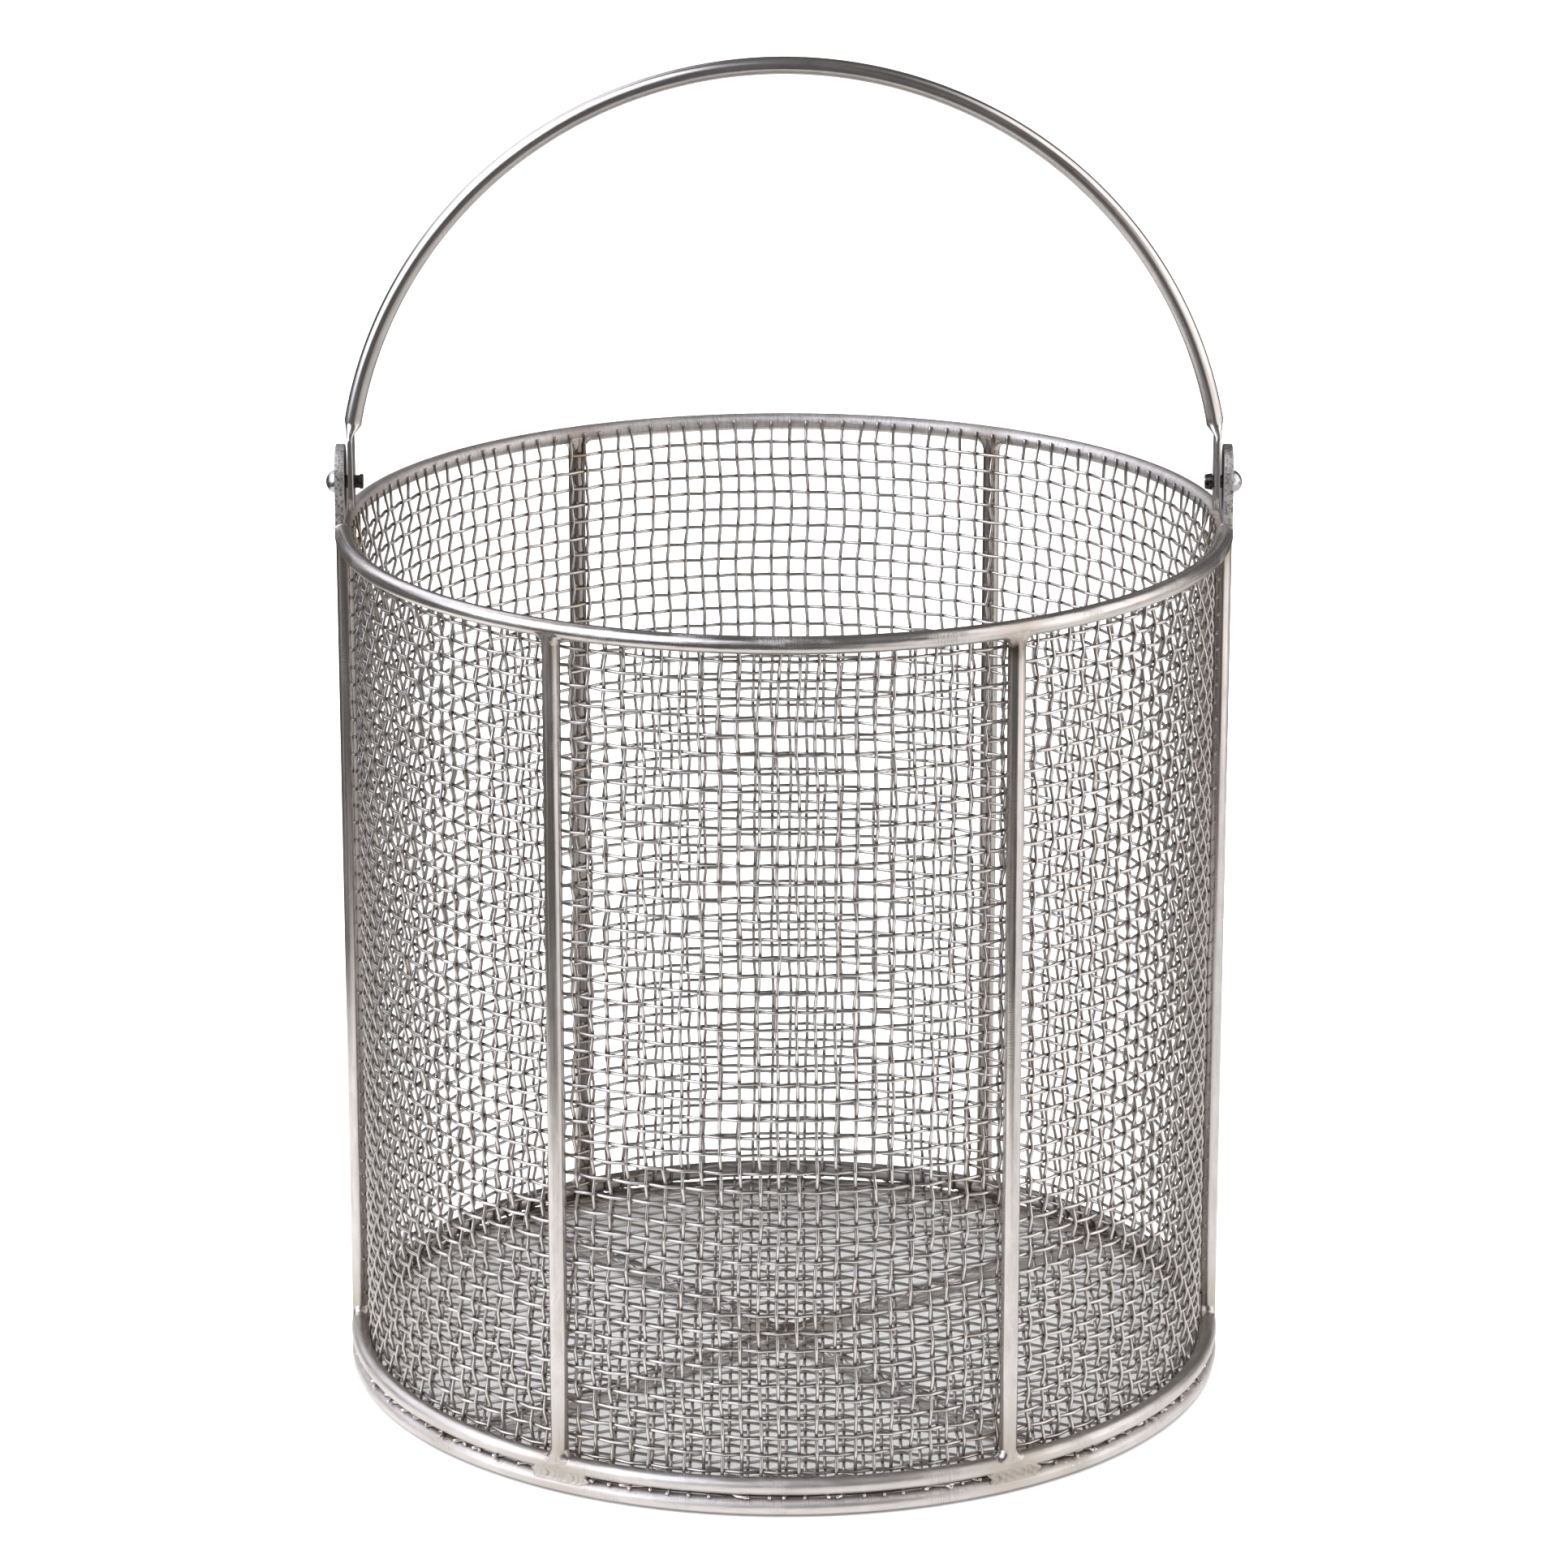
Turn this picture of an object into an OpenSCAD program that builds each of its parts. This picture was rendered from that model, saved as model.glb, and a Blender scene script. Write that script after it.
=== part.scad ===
/*
   Round wire-mesh basket strainer with a swinging bail handle.

   A frame of round rod (rim, two stacked base rings, six uprights and a cross
   under the floor) carries woven wire mesh. The side mesh stands inside the
   frame and its floor disc lies on the cross, its edge at the two base rings. Two tabs on
   the rim hold the bail on rivets.

   Millimetres, +Z up. The origin is on the floor, at the middle of the basket.
*/

/* [Frame] */
// Radius of the rings and of the circle of uprights, to the middle of the rod
ring_r = 151; // [120:1:200]
// Diameter of the round rod of the frame and the bail
rod_d = 6; // [4:0.5:8]
// Height of the basket from the floor to the top of the rim
body_h = 305.2; // [150:0.1:400]
// Gap between the two base rings, which close on the edge of the floor mesh
base_gap = 1.3; // [1.2:0.1:2]
// Direction of the long bar of the cross under the floor, in degrees from +X
cross_angle = 40; // [5:1:85]

/* [Mesh] */
// Diameter of the mesh wire
wire_d = 1.1; // [0.8:0.05:1.3]
// Number of upright (warp) wires around the side
warp_n = 144; // [96:12:180]
// Number of level (weft) wires up the side
weft_n = 46; // [20:1:60]
// Height of the lowest weft wire
weft_low_z = 13.3; // [12:0.1:20]
// Height of the highest weft wire
weft_high_z = 295.4; // [140:0.1:390]
// Pitch of the floor wires, both ways
floor_pitch = 6.5; // [5:0.1:10]
// Depth by which crossing wires and their welds bite into each other
weld_bite = 0.05; // [0.02:0.01:0.1]

/* [Ears] */
// Thickness of the two ear plates
ear_t = 3.2; // [2:0.1:5]
// Width of an ear plate
ear_w = 19; // [14:0.5:26]
// Distance from the basket's middle to the inner face of an ear
ear_in_x = 150.3; // [150:0.1:151]
// Height of an ear above the top of the rim
ear_h = 25.7; // [20:0.1:32]
// Height of the pivot above the top of the rim
pivot_h = 12.7; // [11:0.1:14]

/* [Bail] */
// Radius of the bail's arc, to the middle of the rod
bail_r = 149.7; // [140:0.1:155]
// Height of the arc's centre above the top of the rim
bail_centre_h = 7.1; // [5:0.1:10]
// Height above the rim where the rod starts to flatten
swage_h = 34; // [30:0.5:40]
// Thickness of the flattened ends
paddle_t = 2.2; // [1.8:0.1:3]
// Width of the flattened ends
paddle_w = 11.8; // [9:0.1:14]
// Gap between a flattened end and its ear
paddle_gap = 1.0; // [0.6:0.1:2]
// Distance from the pivot down to the tip of a flattened end
paddle_tip = 10.2; // [8:0.1:11]

/* [Rivets] */
// Diameter of the rivet shank
shank_d = 4.5; // [3:0.1:5]
// Diameter of the domed rivet head
head_d = 8.2; // [6:0.1:10]
// Height of the domed rivet head
head_h = 3.5; // [2:0.1:4]
// Length of rivet that stands inside the bail
tail_l = 2.9; // [2:0.1:4]

/* [Hidden] */
$fn = 96;

STEEL = "#b9b8b4";
WIRE = "#a9a9a6";
WELD = "#8f8a83";
PLATE = "#77757a";
eps = 0.01;

// Frame
rod_r = rod_d / 2;
upright_n = 6;
upright_step = 360 / upright_n;
rim_z = body_h - rod_r;
low_ring_z = rod_r;
high_ring_z = rod_d + base_gap + rod_r;
bore_r = ring_r - rod_r;     // free radius inside the rings
cope_lift = 1.2;             // an upright's flat end sits this far past the ring's middle
bar_reach = bore_r + 1;      // a cross bar's flat end sits this far out, inside the ring
bar_start = 1.2;             // a half bar starts this far from the middle, inside the long bar

// Mesh: straight wires in two layers that touch where they cross
warp_step = 360 / warp_n;
warp_phase = 0.7;            // first wire, in steps from +X, so that no wire hides behind an upright
warp_r = bore_r - wire_d / 2 + weld_bite;
weft_r = warp_r - wire_d + weld_bite;
weft_pitch = (weft_high_z - weft_low_z) / (weft_n - 1);
weft_third = ceil(weft_n / 3);
warp_top_z = rim_z + 1.4;
gap_mid_z = rod_d + base_gap / 2;
floor_layer = (wire_d - weld_bite) / 2;
floor_mid_z = rod_d + wire_d - weld_bite; // the lower layer of floor wires lies on the cross
warp_low_z = floor_mid_z + floor_layer + wire_d / 2 + weld_bite;
floor_edge_r = bore_r + 1.1; // the wires end where the rings close on them
floor_shift = 0.8;           // the disc is cut a little off the weave's own middle
floor_half_n = floor((bore_r - 2) / floor_pitch);

// Ears and pivot
pivot_z = body_h + pivot_h;
ear_top_z = body_h + ear_h;
ear_low_z = body_h - 1;
ear_out_x = ear_in_x + ear_t;
ear_hole_d = shank_d + 0.1;

// Bail
bail_z = body_h + bail_centre_h;
swage_z = body_h + swage_h;
swage_angle = asin((swage_z - bail_z) / bail_r);
swage_l = 5.5;
swage_x = bail_r * cos(swage_angle);
swage_flare = (paddle_w / 2 + 0.1 - rod_r) / swage_l;
paddle_out_x = ear_in_x - paddle_gap;
paddle_in_x = paddle_out_x - paddle_t;
paddle_hole_d = shank_d + 0.18;

// Rivets
head_ball_r = (head_d * head_d / 4 + head_h * head_h) / (2 * head_h);
tail_x = paddle_in_x - tail_l;
tail_wall = 0.95;
tail_slit = 0.7;

// A ring of rod whose middle lies at height z
module ring(z, r = rod_r) {
    translate([0, 0, z])
        rotate_extrude($fn = 360)
            translate([ring_r, 0])
                circle(r = r);
}

module rim_ring() { color(STEEL) ring(rim_z); }
module upper_base_ring() { color(STEEL) ring(high_ring_z); }
module lower_base_ring() { color(STEEL) ring(low_ring_z); }

// Rod at upright position i, between two heights
module upright_rod_blank(i, z0, z1) {
    rotate([0, 0, i * upright_step])
        translate([ring_r, 0, z0])
            cylinder(r = rod_r, h = z1 - z0);
}

// One upright, coped to the upper base ring and to the rim
module upright_rod(i) {
    color(STEEL)
        difference() {
            upright_rod_blank(i, high_ring_z + cope_lift, rim_z - cope_lift);
            ring(rim_z);
            ring(high_ring_z);
        }
}

// Web of weld metal in the two corners between an upright and a ring.
// dir is +1 where the upright stands on the ring, -1 where it hangs from it.
module corner_webs(ring_z, dir, web_r, web_h) {
    band = 2.7;              // half the radial width, inside the rod's own width
    color(WELD)
        difference() {
            intersection() {
                for (i = [0 : upright_n - 1])
                    rotate([0, 0, i * upright_step])
                        translate([ring_r, 0, ring_z])
                            mirror([0, 0, dir > 0 ? 0 : 1])
                                cylinder(r1 = web_r, r2 = rod_r, h = web_h);
                translate([0, 0, ring_z - web_h])
                    difference() {
                        cylinder(r = ring_r + band, h = 2 * web_h);
                        translate([0, 0, -1])
                            cylinder(r = ring_r - band, h = 2 * web_h + 2);
                    }
            }
            ring(ring_z);
            for (i = [0 : upright_n - 1])
                upright_rod_blank(i, ring_z - 2 * web_h, ring_z + 2 * web_h);
        }
}

module upright_top_welds() { corner_webs(rim_z, -1, 8, 8.5); }
module upright_foot_welds() { corner_webs(high_ring_z, 1, 6, 6.5); }

// Section of a bead in the groove between the two base rings, drawn as (distance out, height)
module bead_section(bead_r) {
    difference() {
        translate([ring_r + rod_r - bead_r, 0])
            circle(r = bead_r);
        for (side = [-1, 1])
            translate([ring_r, side * (rod_r + base_gap / 2)])
                circle(r = rod_r);
    }
}

// Beads that join the two base rings outside the floor mesh, one under each upright
module base_ring_welds() {
    bead_angle = 7;
    color(WELD)
        for (i = [0 : upright_n - 1])
            rotate([0, 0, i * upright_step - bead_angle / 2])
                translate([0, 0, gap_mid_z])
                    rotate_extrude(angle = bead_angle)
                        bead_section(1.8);
}

// Rod of the cross, from distance r0 to r1 in direction a
module bar_blank(a, r0, r1) {
    translate([0, 0, low_ring_z])
        rotate([0, 0, a])
            translate([r0, 0, 0])
                rotate([0, 90, 0])
                    cylinder(r = rod_r, h = r1 - r0);
}

module cross_bar_long() {
    color(STEEL)
        difference() {
            bar_blank(cross_angle, -bar_reach, bar_reach);
            ring(low_ring_z);
        }
}

// One of the two bars that butt against the long one
module cross_bar_half(a) {
    color(STEEL)
        difference() {
            bar_blank(a, bar_start, bar_reach);
            bar_blank(cross_angle, -bar_reach, bar_reach);
            ring(low_ring_z);
        }
}

module cross_bar_half_left() { cross_bar_half(cross_angle + 90); }
module cross_bar_half_right() { cross_bar_half(cross_angle - 90); }

// Weld metal around an end of a bar, clear of the bars and the ring
module bar_web(web_r, web_h) {
    translate([0, 0, low_ring_z])
        cylinder(r = web_r, h = web_h, center = true);
}

module cut_by_bars() {
    difference() {
        children();
        bar_blank(cross_angle, -bar_reach, bar_reach);
        bar_blank(cross_angle + 90, -bar_reach, bar_reach);
        ring(low_ring_z);
    }
}

module cross_weld() { color(WELD) cut_by_bars() bar_web(5.4, 3.4); }

module bar_end_welds() {
    color(WELD)
        cut_by_bars()
            for (i = [0 : 3])
                rotate([0, 0, cross_angle + 90 * i])
                    translate([bore_r, 0, 0])
                        bar_web(4.4, 3.2);
}

// Upright wires of the side mesh, welded to the inside of the rim
module side_warp_wires() {
    color(WIRE)
        for (i = [0 : warp_n - 1])
            rotate([0, 0, (i + warp_phase) * warp_step])
                translate([warp_r, 0, warp_low_z])
                    cylinder(d = wire_d, h = warp_top_z - warp_low_z);
}

// Level wires of the side mesh, from number k0 to number k1 counted from the bottom
module weft_wires(k0, k1) {
    color(WIRE)
        for (k = [k0 : k1])
            translate([0, 0, weft_low_z + k * weft_pitch])
                rotate_extrude()
                    translate([weft_r, 0])
                        circle(d = wire_d);
}

module side_weft_wires_low() { weft_wires(0, weft_third - 1); }
module side_weft_wires_mid() { weft_wires(weft_third, 2 * weft_third - 1); }
module side_weft_wires_high() { weft_wires(2 * weft_third, weft_n - 1); }

// Floor wires along X, at height z, each trimmed to the disc's edge
module floor_wires(z) {
    color(WIRE)
        for (k = [-floor_half_n : floor_half_n]) {
            y = k * floor_pitch + floor_shift;
            half = sqrt(floor_edge_r * floor_edge_r - y * y);
            translate([-half, y, z])
                rotate([0, 90, 0])
                    cylinder(d = wire_d, h = 2 * half);
        }
}

module floor_wires_across() { floor_wires(floor_mid_z - floor_layer); }
module floor_wires_deep() { mirror([1, -1, 0]) floor_wires(floor_mid_z + floor_layer); }

// Outline of an ear, drawn as (y, z)
module ear_outline() {
    difference() {
        union() {
            translate([-ear_w / 2, ear_low_z])
                square([ear_w, ear_top_z - ear_w / 2 - ear_low_z]);
            translate([0, ear_top_z - ear_w / 2])
                circle(d = ear_w);
        }
        translate([0, pivot_z])
            circle(d = ear_hole_d);
    }
}

// A plate from distance x0 to x1 on the +X side, with its outline drawn as (y, z)
module plate(x0, x1) {
    translate([x0, 0, 0])
        rotate([90, 0, 90])
            linear_extrude(x1 - x0)
                children();
}

module ear_right() {
    color(PLATE)
        difference() {
            plate(ear_in_x, ear_out_x) ear_outline();
            ring(rim_z);
        }
}

module ear_left() { mirror([1, 0, 0]) ear_right(); }

// Fillet weld along the foot of each ear, on the bail's side
module ear_welds() {
    bead_r = 1.6;
    bead_l = ear_w - 2;
    color(WELD)
        for (side = [0, 1])
            mirror([side, 0, 0])
                difference() {
                    translate([ear_in_x - 0.5, 0, body_h])
                        rotate([90, 0, 0])
                            cylinder(r = bead_r, h = bead_l, center = true);
                    plate(ear_in_x, ear_out_x) ear_outline();
                    ring(rim_z);
                }
}

// Turned outline of a rivet, drawn as (radius, distance along it from the tail's end)
module rivet_outline() {
    shank_l = ear_out_x - tail_x;
    square([shank_d / 2, shank_l + eps]);
    intersection() {
        translate([0, shank_l + head_h - head_ball_r])
            circle(r = head_ball_r);
        translate([0, shank_l])
            square([head_d, head_h]);
    }
}

// Turns the outlines given to it about the pivot's axis, on the +X side
module turned_at_pivot() {
    translate([tail_x, 0, pivot_z])
        rotate([0, 90, 0])
            rotate_extrude()
                children();
}

// Right rivet: the tail is a hollow skirt, flared against the bail and split in two
module rivet_right() {
    skirt_l = tail_l - 0.4;
    hollow_r = shank_d / 2 - tail_wall;
    color(PLATE)
        difference() {
            turned_at_pivot()
                difference() {
                    union() {
                        rivet_outline();
                        polygon([
                            [0, 0],
                            [shank_d / 2 + 0.2, 0],
                            [shank_d / 2 + 0.7, skirt_l],
                            [0, skirt_l]
                        ]);
                    }
                    translate([0, -eps])
                        square([hollow_r, skirt_l]);
                }
            translate([tail_x - 1, -head_d, pivot_z - tail_slit / 2])
                cube([1 + skirt_l / 2, 2 * head_d, tail_slit]);
        }
}

// Left rivet: the tail is cut square, with a short swollen lip
module rivet_left() {
    lip_l = 1.2;
    color(PLATE)
        mirror([1, 0, 0])
            turned_at_pivot() {
                rivet_outline();
                square([shank_d / 2 + 0.35, lip_l]);
            }
}

// Outline of a flattened end of the bail, drawn as (y, z)
module paddle_outline() {
    tip_z = pivot_z - paddle_tip + paddle_w / 2;
    difference() {
        union() {
            translate([-paddle_w / 2, tip_z])
                square([paddle_w, swage_z - swage_l + eps - tip_z]);
            translate([0, tip_z])
                circle(d = paddle_w);
        }
        translate([0, pivot_z])
            circle(d = paddle_hole_d);
    }
}

// The stretch where the rod is pressed flat: a widening cone between two sloping faces.
// Its neck is a hair thinner than the rod and starts just inside it.
module swage() {
    lap = 0.1;
    neck_r = rod_r - 0.02;
    low_z = swage_z - swage_l;
    cone_l = 1.4 * swage_l;
    cone_r = neck_r - lap * swage_flare;
    top = [swage_x, swage_z] + lap * [-sin(swage_angle), cos(swage_angle)];
    across = neck_r * [cos(swage_angle), sin(swage_angle)];
    intersection() {
        translate([top[0], 0, top[1]])
            rotate([0, 180 - swage_angle, 0])
                cylinder(r1 = cone_r, r2 = cone_r + cone_l * swage_flare, h = cone_l);
        rotate([90, 0, 0])
            linear_extrude(2 * paddle_w, center = true)
                polygon([top - across, top + across, [paddle_out_x, low_z], [paddle_in_x, low_z]]);
    }
}

module bail_handle() {
    color(STEEL) {
        translate([0, 0, bail_z])
            rotate([90, 0, 0])
                rotate([0, 0, swage_angle])
                    rotate_extrude(angle = 180 - 2 * swage_angle)
                        translate([bail_r, 0])
                            circle(r = rod_r);
        for (side = [0, 1])
            mirror([side, 0, 0]) {
                swage();
                plate(paddle_in_x, paddle_out_x) paddle_outline();
            }
    }
}

rim_ring();
upper_base_ring();
lower_base_ring();
upright_rod(0);  // upright_rod_1
upright_rod(1);  // upright_rod_2
upright_rod(2);  // upright_rod_3
upright_rod(3);  // upright_rod_4
upright_rod(4);  // upright_rod_5
upright_rod(5);  // upright_rod_6
upright_top_welds();
upright_foot_welds();
base_ring_welds();
cross_bar_long();
cross_bar_half_left();
cross_bar_half_right();
cross_weld();
bar_end_welds();
side_warp_wires();
side_weft_wires_low();
side_weft_wires_mid();
side_weft_wires_high();
floor_wires_across();
floor_wires_deep();
ear_left();
ear_right();
ear_welds();
rivet_left();
rivet_right();
bail_handle();
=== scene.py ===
"""Wire mesh basket strainer: woven mesh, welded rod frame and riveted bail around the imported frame.

Lengths in this script are millimetres in the frame's axes; meshes are written in metres.
"""

import math

import bpy
import numpy as np
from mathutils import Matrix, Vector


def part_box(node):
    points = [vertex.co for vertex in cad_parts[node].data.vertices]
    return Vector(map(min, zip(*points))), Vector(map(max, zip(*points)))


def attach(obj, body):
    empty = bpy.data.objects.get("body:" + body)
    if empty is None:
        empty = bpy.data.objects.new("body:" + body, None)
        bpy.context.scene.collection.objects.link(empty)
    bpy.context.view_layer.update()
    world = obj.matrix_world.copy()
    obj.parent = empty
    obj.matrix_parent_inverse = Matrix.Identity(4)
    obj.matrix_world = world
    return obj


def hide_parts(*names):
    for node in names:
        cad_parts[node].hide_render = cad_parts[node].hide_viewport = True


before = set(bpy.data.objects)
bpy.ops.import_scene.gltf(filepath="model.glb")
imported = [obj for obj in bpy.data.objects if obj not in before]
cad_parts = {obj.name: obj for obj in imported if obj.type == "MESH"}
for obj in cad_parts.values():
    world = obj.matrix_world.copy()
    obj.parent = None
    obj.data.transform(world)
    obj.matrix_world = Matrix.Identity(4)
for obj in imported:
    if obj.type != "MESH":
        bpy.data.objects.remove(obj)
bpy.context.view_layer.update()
scene = bpy.context.scene
MM = 0.001
TO_MM = (1000.0, 1000.0, 1000.0)
UP = (0.0, 0.0, 1.0)


def box(node):
    """Low and high corner of a CAD node, in millimetres."""
    lo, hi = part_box(node)
    return np.round(np.array(lo) / MM, 2), np.round(np.array(hi) / MM, 2)


# ---------------------------------------------------------------- sizes, from the frame
rim_lo, rim_hi = box("rim_ring")
ROD = 3.0  # radius of the frame's rods
RING_R = rim_hi[0] - ROD
RIM_Z = (rim_lo[2] + rim_hi[2]) / 2
LOW_Z = sum(b[2] for b in box("lower_base_ring")) / 2
HIGH_Z = sum(b[2] for b in box("upper_base_ring")) / 2
GAP_Z = (LOW_Z + HIGH_Z) / 2
FLOOR_Z = (box("floor_wires_across")[0][2] + box("floor_wires_deep")[1][2]) / 2
BORE_R = RING_R - ROD
CROSS = math.radians(40)  # direction of the long cross bar
PIVOT_Z = RIM_Z + ROD + 12.7
EAR_LO, EAR_HI = box("ear_right")
BAIL_R = 149.7
BAIL_Z = box("bail_handle")[1][2] - ROD - BAIL_R
WARPS, WEFTS = 144, 46  # the side's upright wires and level wires
WARP_PHASE = 0.7  # place of the first upright wire, in spacings
WEFT_LOW, WEFT_HIGH = box("side_weft_wires_low")[0][2] + 0.55, box("side_weft_wires_high")[1][2] - 0.55
WARP_AMP, WEFT_AMP, FLOOR_AMP = 0.69, 0.48, 0.52  # heights of the crimps
WIRE = 0.61  # radius of the mesh wire
MESH_R = 146.85
PITCH, SHIFT = 6.5, 0.8  # spacing of the floor's wires, and the place of the middle one
TIP_R = RING_R + 2.2  # where the longest floor wires end
FILL_HALF, FILL_OFF = 10.9, 1.6  # a base ring weld's half length, and its distance past the upright
FILL_STEP = 1.7  # change of shape from one base ring weld to the next
SKIN_R = ROD - 0.05  # the rods as the welds see them, just inside their surface
GRAIN_STEP = 137.0  # between the grain of one wire and of the next
WIRE_SIDES, ROD_SIDES, BAIL_SIDES, HOLE_SIDES = 8, 40, 64, 64
WEFT_NODES = ("side_weft_wires_low", "side_weft_wires_mid", "side_weft_wires_high")
DULL = {"base_ring_top": 0.16, "base_ring_bottom": 0.12, "base_ring_fills": 0.16, "bail": 0.16}


# ---------------------------------------------------------------- mesh tools
def unit(v):
    """Vectors scaled to length 1."""
    return v / np.maximum(np.linalg.norm(v, axis=-1, keepdims=True), 1e-12)


def near(v, x, y, z, spread):
    """1 at a point, falling to 0 with distance."""
    d = ((v - np.array([x, y, z])) ** 2).sum(1)
    return np.exp(-d / spread**2)


def clamp(x):
    """x held between 0 and 1."""
    return np.clip(x, 0, 1)


def bell(x, width):
    """1 at x = 0, falling to 0 over about two widths either way."""
    return np.exp(-((x / width) ** 2))


def polar(r, a, z):
    """Points from arrays of radius, angle and height."""
    return np.stack([r * np.cos(a), r * np.sin(a), z], -1)


# ---------------------------------------------------------------- wear
def crescents(s, dz, seed):
    """Ripples of a weld bead, -1 to 1, where s runs along the bead and dz across it."""
    return np.sin(2 * np.pi * ((s + 0.3 * dz * dz) / 2.3 + seed + 0.25 * np.sin(0.8 * s + seed)))


def around_wire(v):
    """Each point's angle round its own wire."""
    return 2 * np.pi * (np.arange(len(v)) % WIRE_SIDES) / WIRE_SIDES


def weld_heat(v):
    """Heat tint round every weld of the basket."""
    heat = np.zeros(len(v))
    for i in range(6):
        x, y = RING_R * math.cos(i * math.pi / 3), RING_R * math.sin(i * math.pi / 3)
        heat += 0.8 * near(v, x, y, RIM_Z - 3, 10) + 0.75 * near(v, x, y, HIGH_Z + 3, 15)
    for i in range(4):
        a = CROSS + i * math.pi / 2
        heat += 0.7 * near(v, BORE_R * math.cos(a), BORE_R * math.sin(a), LOW_Z, 9)
    heat += 0.9 * near(v, 0, 0, LOW_Z, 14) + 0.6 * near(v, 3, -RING_R, HIGH_Z, 4)
    for side in (-1, 1):
        heat += 0.9 * near(v, side * RING_R, 0, RIM_Z, 15)
    return heat


def side_heat_and_shade(v, upright):
    """Extra heat, and the painted shade of the side mesh: in its crossings, at its foot, on the wires'
    flanks and along them near their tips at the rim.
    """
    a, r, z = np.arctan2(v[:, 1], v[:, 0]), np.hypot(v[:, 0], v[:, 1]), v[:, 2]
    pitch = (WEFT_HIGH - WEFT_LOW) / (WEFTS - 1)
    da = (a / (2 * np.pi) * WARPS - WARP_PHASE + 0.5) % 1 - 0.5
    dz = ((z - WEFT_LOW) / pitch + 0.5) % 1 - 0.5
    # painted contact shade where two wires cross
    dirt_and_shade = 0.95 * (np.exp(-((da * 6.4) ** 2 + (dz * pitch) ** 2) / 1.1) * bell(r - MESH_R, 0.4))
    # painted shade at the mesh's foot, behind the base rings; it also darkens the hem wires in the gap
    dirt_and_shade += 0.75 * clamp((HIGH_Z + 3.6 - z) / 4)
    flank = np.abs(np.sin(around_wire(v)) if upright else np.cos(around_wire(v)))
    # painted shade on the wires' flanks
    dirt_and_shade += 0.62 * flank**2
    # painted shadow lines along the flanks near the wires' tips at the rim
    dirt_and_shade += 0.95 * flank**3 * clamp((z - RIM_Z + 4.5) / 2.5)
    if upright:
        return 0.0, dirt_and_shade
    from_rod = np.abs((a / (np.pi / 3) + 0.5) % 1 - 0.5) * np.pi / 3 * MESH_R
    return 0.7 * bell(from_rod, 5.0) * (np.sin(z * 0.9 + a * 3) > 0.4), dirt_and_shade


def floor_painted_shade(v):
    """Painted shade in the floor mesh's crossings and along its wires' undersides."""
    off = (v[:, :2] - SHIFT) / PITCH
    off = (off - np.round(off)) * PITCH
    crossing = 0.8 * np.exp(-(off**2).sum(1) / 1.1) * bell(v[:, 2] - FLOOR_Z, 0.45)
    return crossing + 0.4 * clamp(0.3 - np.cos(around_wire(v)))


def fill_wear(v):
    """Extra heat of the base ring welds, and their darkening: between their crescents, and smeared where x >
    0.
    """
    a = np.arctan2(v[:, 1], v[:, 0])
    foot = np.round(a / (np.pi / 3))
    s, dz = (a - foot * np.pi / 3) * RING_R - FILL_OFF, v[:, 2] - GAP_Z
    right = v[:, 0] > 0
    hollow = clamp(-crescents(s, dz, foot % 6 * FILL_STEP)) ** 2 * bell(dz, 2.1)
    hollow *= np.where(right, 0.3, 0.55) * (0.55 + 0.45 * np.sin(0.6 * s + foot))
    smear = np.where(right, 0.24 + 0.12 * np.sin(1.7 * s + 2.6 * dz), 0.0)
    return np.where(right, 1.0, 0.35), hollow + smear * bell(dz, 2.4)


def dullness(name, v):
    """Roughness added to a piece: most where it is ground or handled."""
    y, z = v[:, 1], v[:, 2]
    dull = np.full(len(v), DULL.get(name, 0.02))
    if name.startswith("upright_"):
        dull -= 0.05
    if name == "rim":
        dull += 0.22 * clamp((y + 16) / 16)
    if name == "base_ring_bottom":
        dull += 0.12 * clamp((z - LOW_Z) / 2)
    if name == "bail":
        dull += 0.2 * clamp((RIM_Z + 36 - z) / 8)
    if name == "upright_5":
        dull += 0.12 * clamp((z - RIM_Z + 45) / 20)
    return dull


def wear_and_shade_of(name, v):
    """Heat tint round the welds (x), weld burns and darkening of the welds together with painted shade in
    the crevices and on the wires (y), and extra roughness (z).
    """
    r, z = np.hypot(v[:, 0], v[:, 1]), v[:, 2]
    heat = 0.9 * clamp((PIVOT_Z - 1 - z) / 6) if name == "bail" else weld_heat(v)
    more, dirt_and_shade = 0.0, np.zeros(len(v))
    if name.startswith("upright_"):
        # painted shade: the uprights are darker on their inner sides, behind the mesh
        dirt_and_shade += 0.55 * clamp((RING_R + 0.6 - r) / 1.6)
    if name in ("upright_6", "rim_webs"):
        x6, y6 = RING_R * math.cos(math.radians(-60)), RING_R * math.sin(math.radians(-60))
        dirt_and_shade += 0.8 * near(v, x6 + 0.2, y6 - 2.6, RIM_Z - 6, 3.2)
        dirt_and_shade += 0.5 * near(v, x6 - 2.6, y6 - 1.5, RIM_Z - 6, 3.2)
    if name.startswith("side_"):
        more, dirt_and_shade = side_heat_and_shade(v, "warp" in name)
    if name.startswith("floor_mesh"):
        dirt_and_shade = floor_painted_shade(v)
    if name == "base_ring_top":
        # painted shadow: a dark line along the top of the upper base ring, on its inner side next to the
        # mesh
        dirt_and_shade += 0.6 * clamp((z - HIGH_Z - 1.2) / 1.6) * clamp((RING_R + 1.6 - r) / 1.6)
    if name == "base_ring_fills":
        more, dirt_and_shade = fill_wear(v)
    return np.stack([clamp(heat + more), np.clip(dirt_and_shade, 0, 0.9), dullness(name, v)], -1)


# ---------------------------------------------------------------- pieces
def add(name, data):
    """A new object in the scene."""
    o = bpy.data.objects.new(name, data)
    scene.collection.objects.link(o)
    return o


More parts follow.
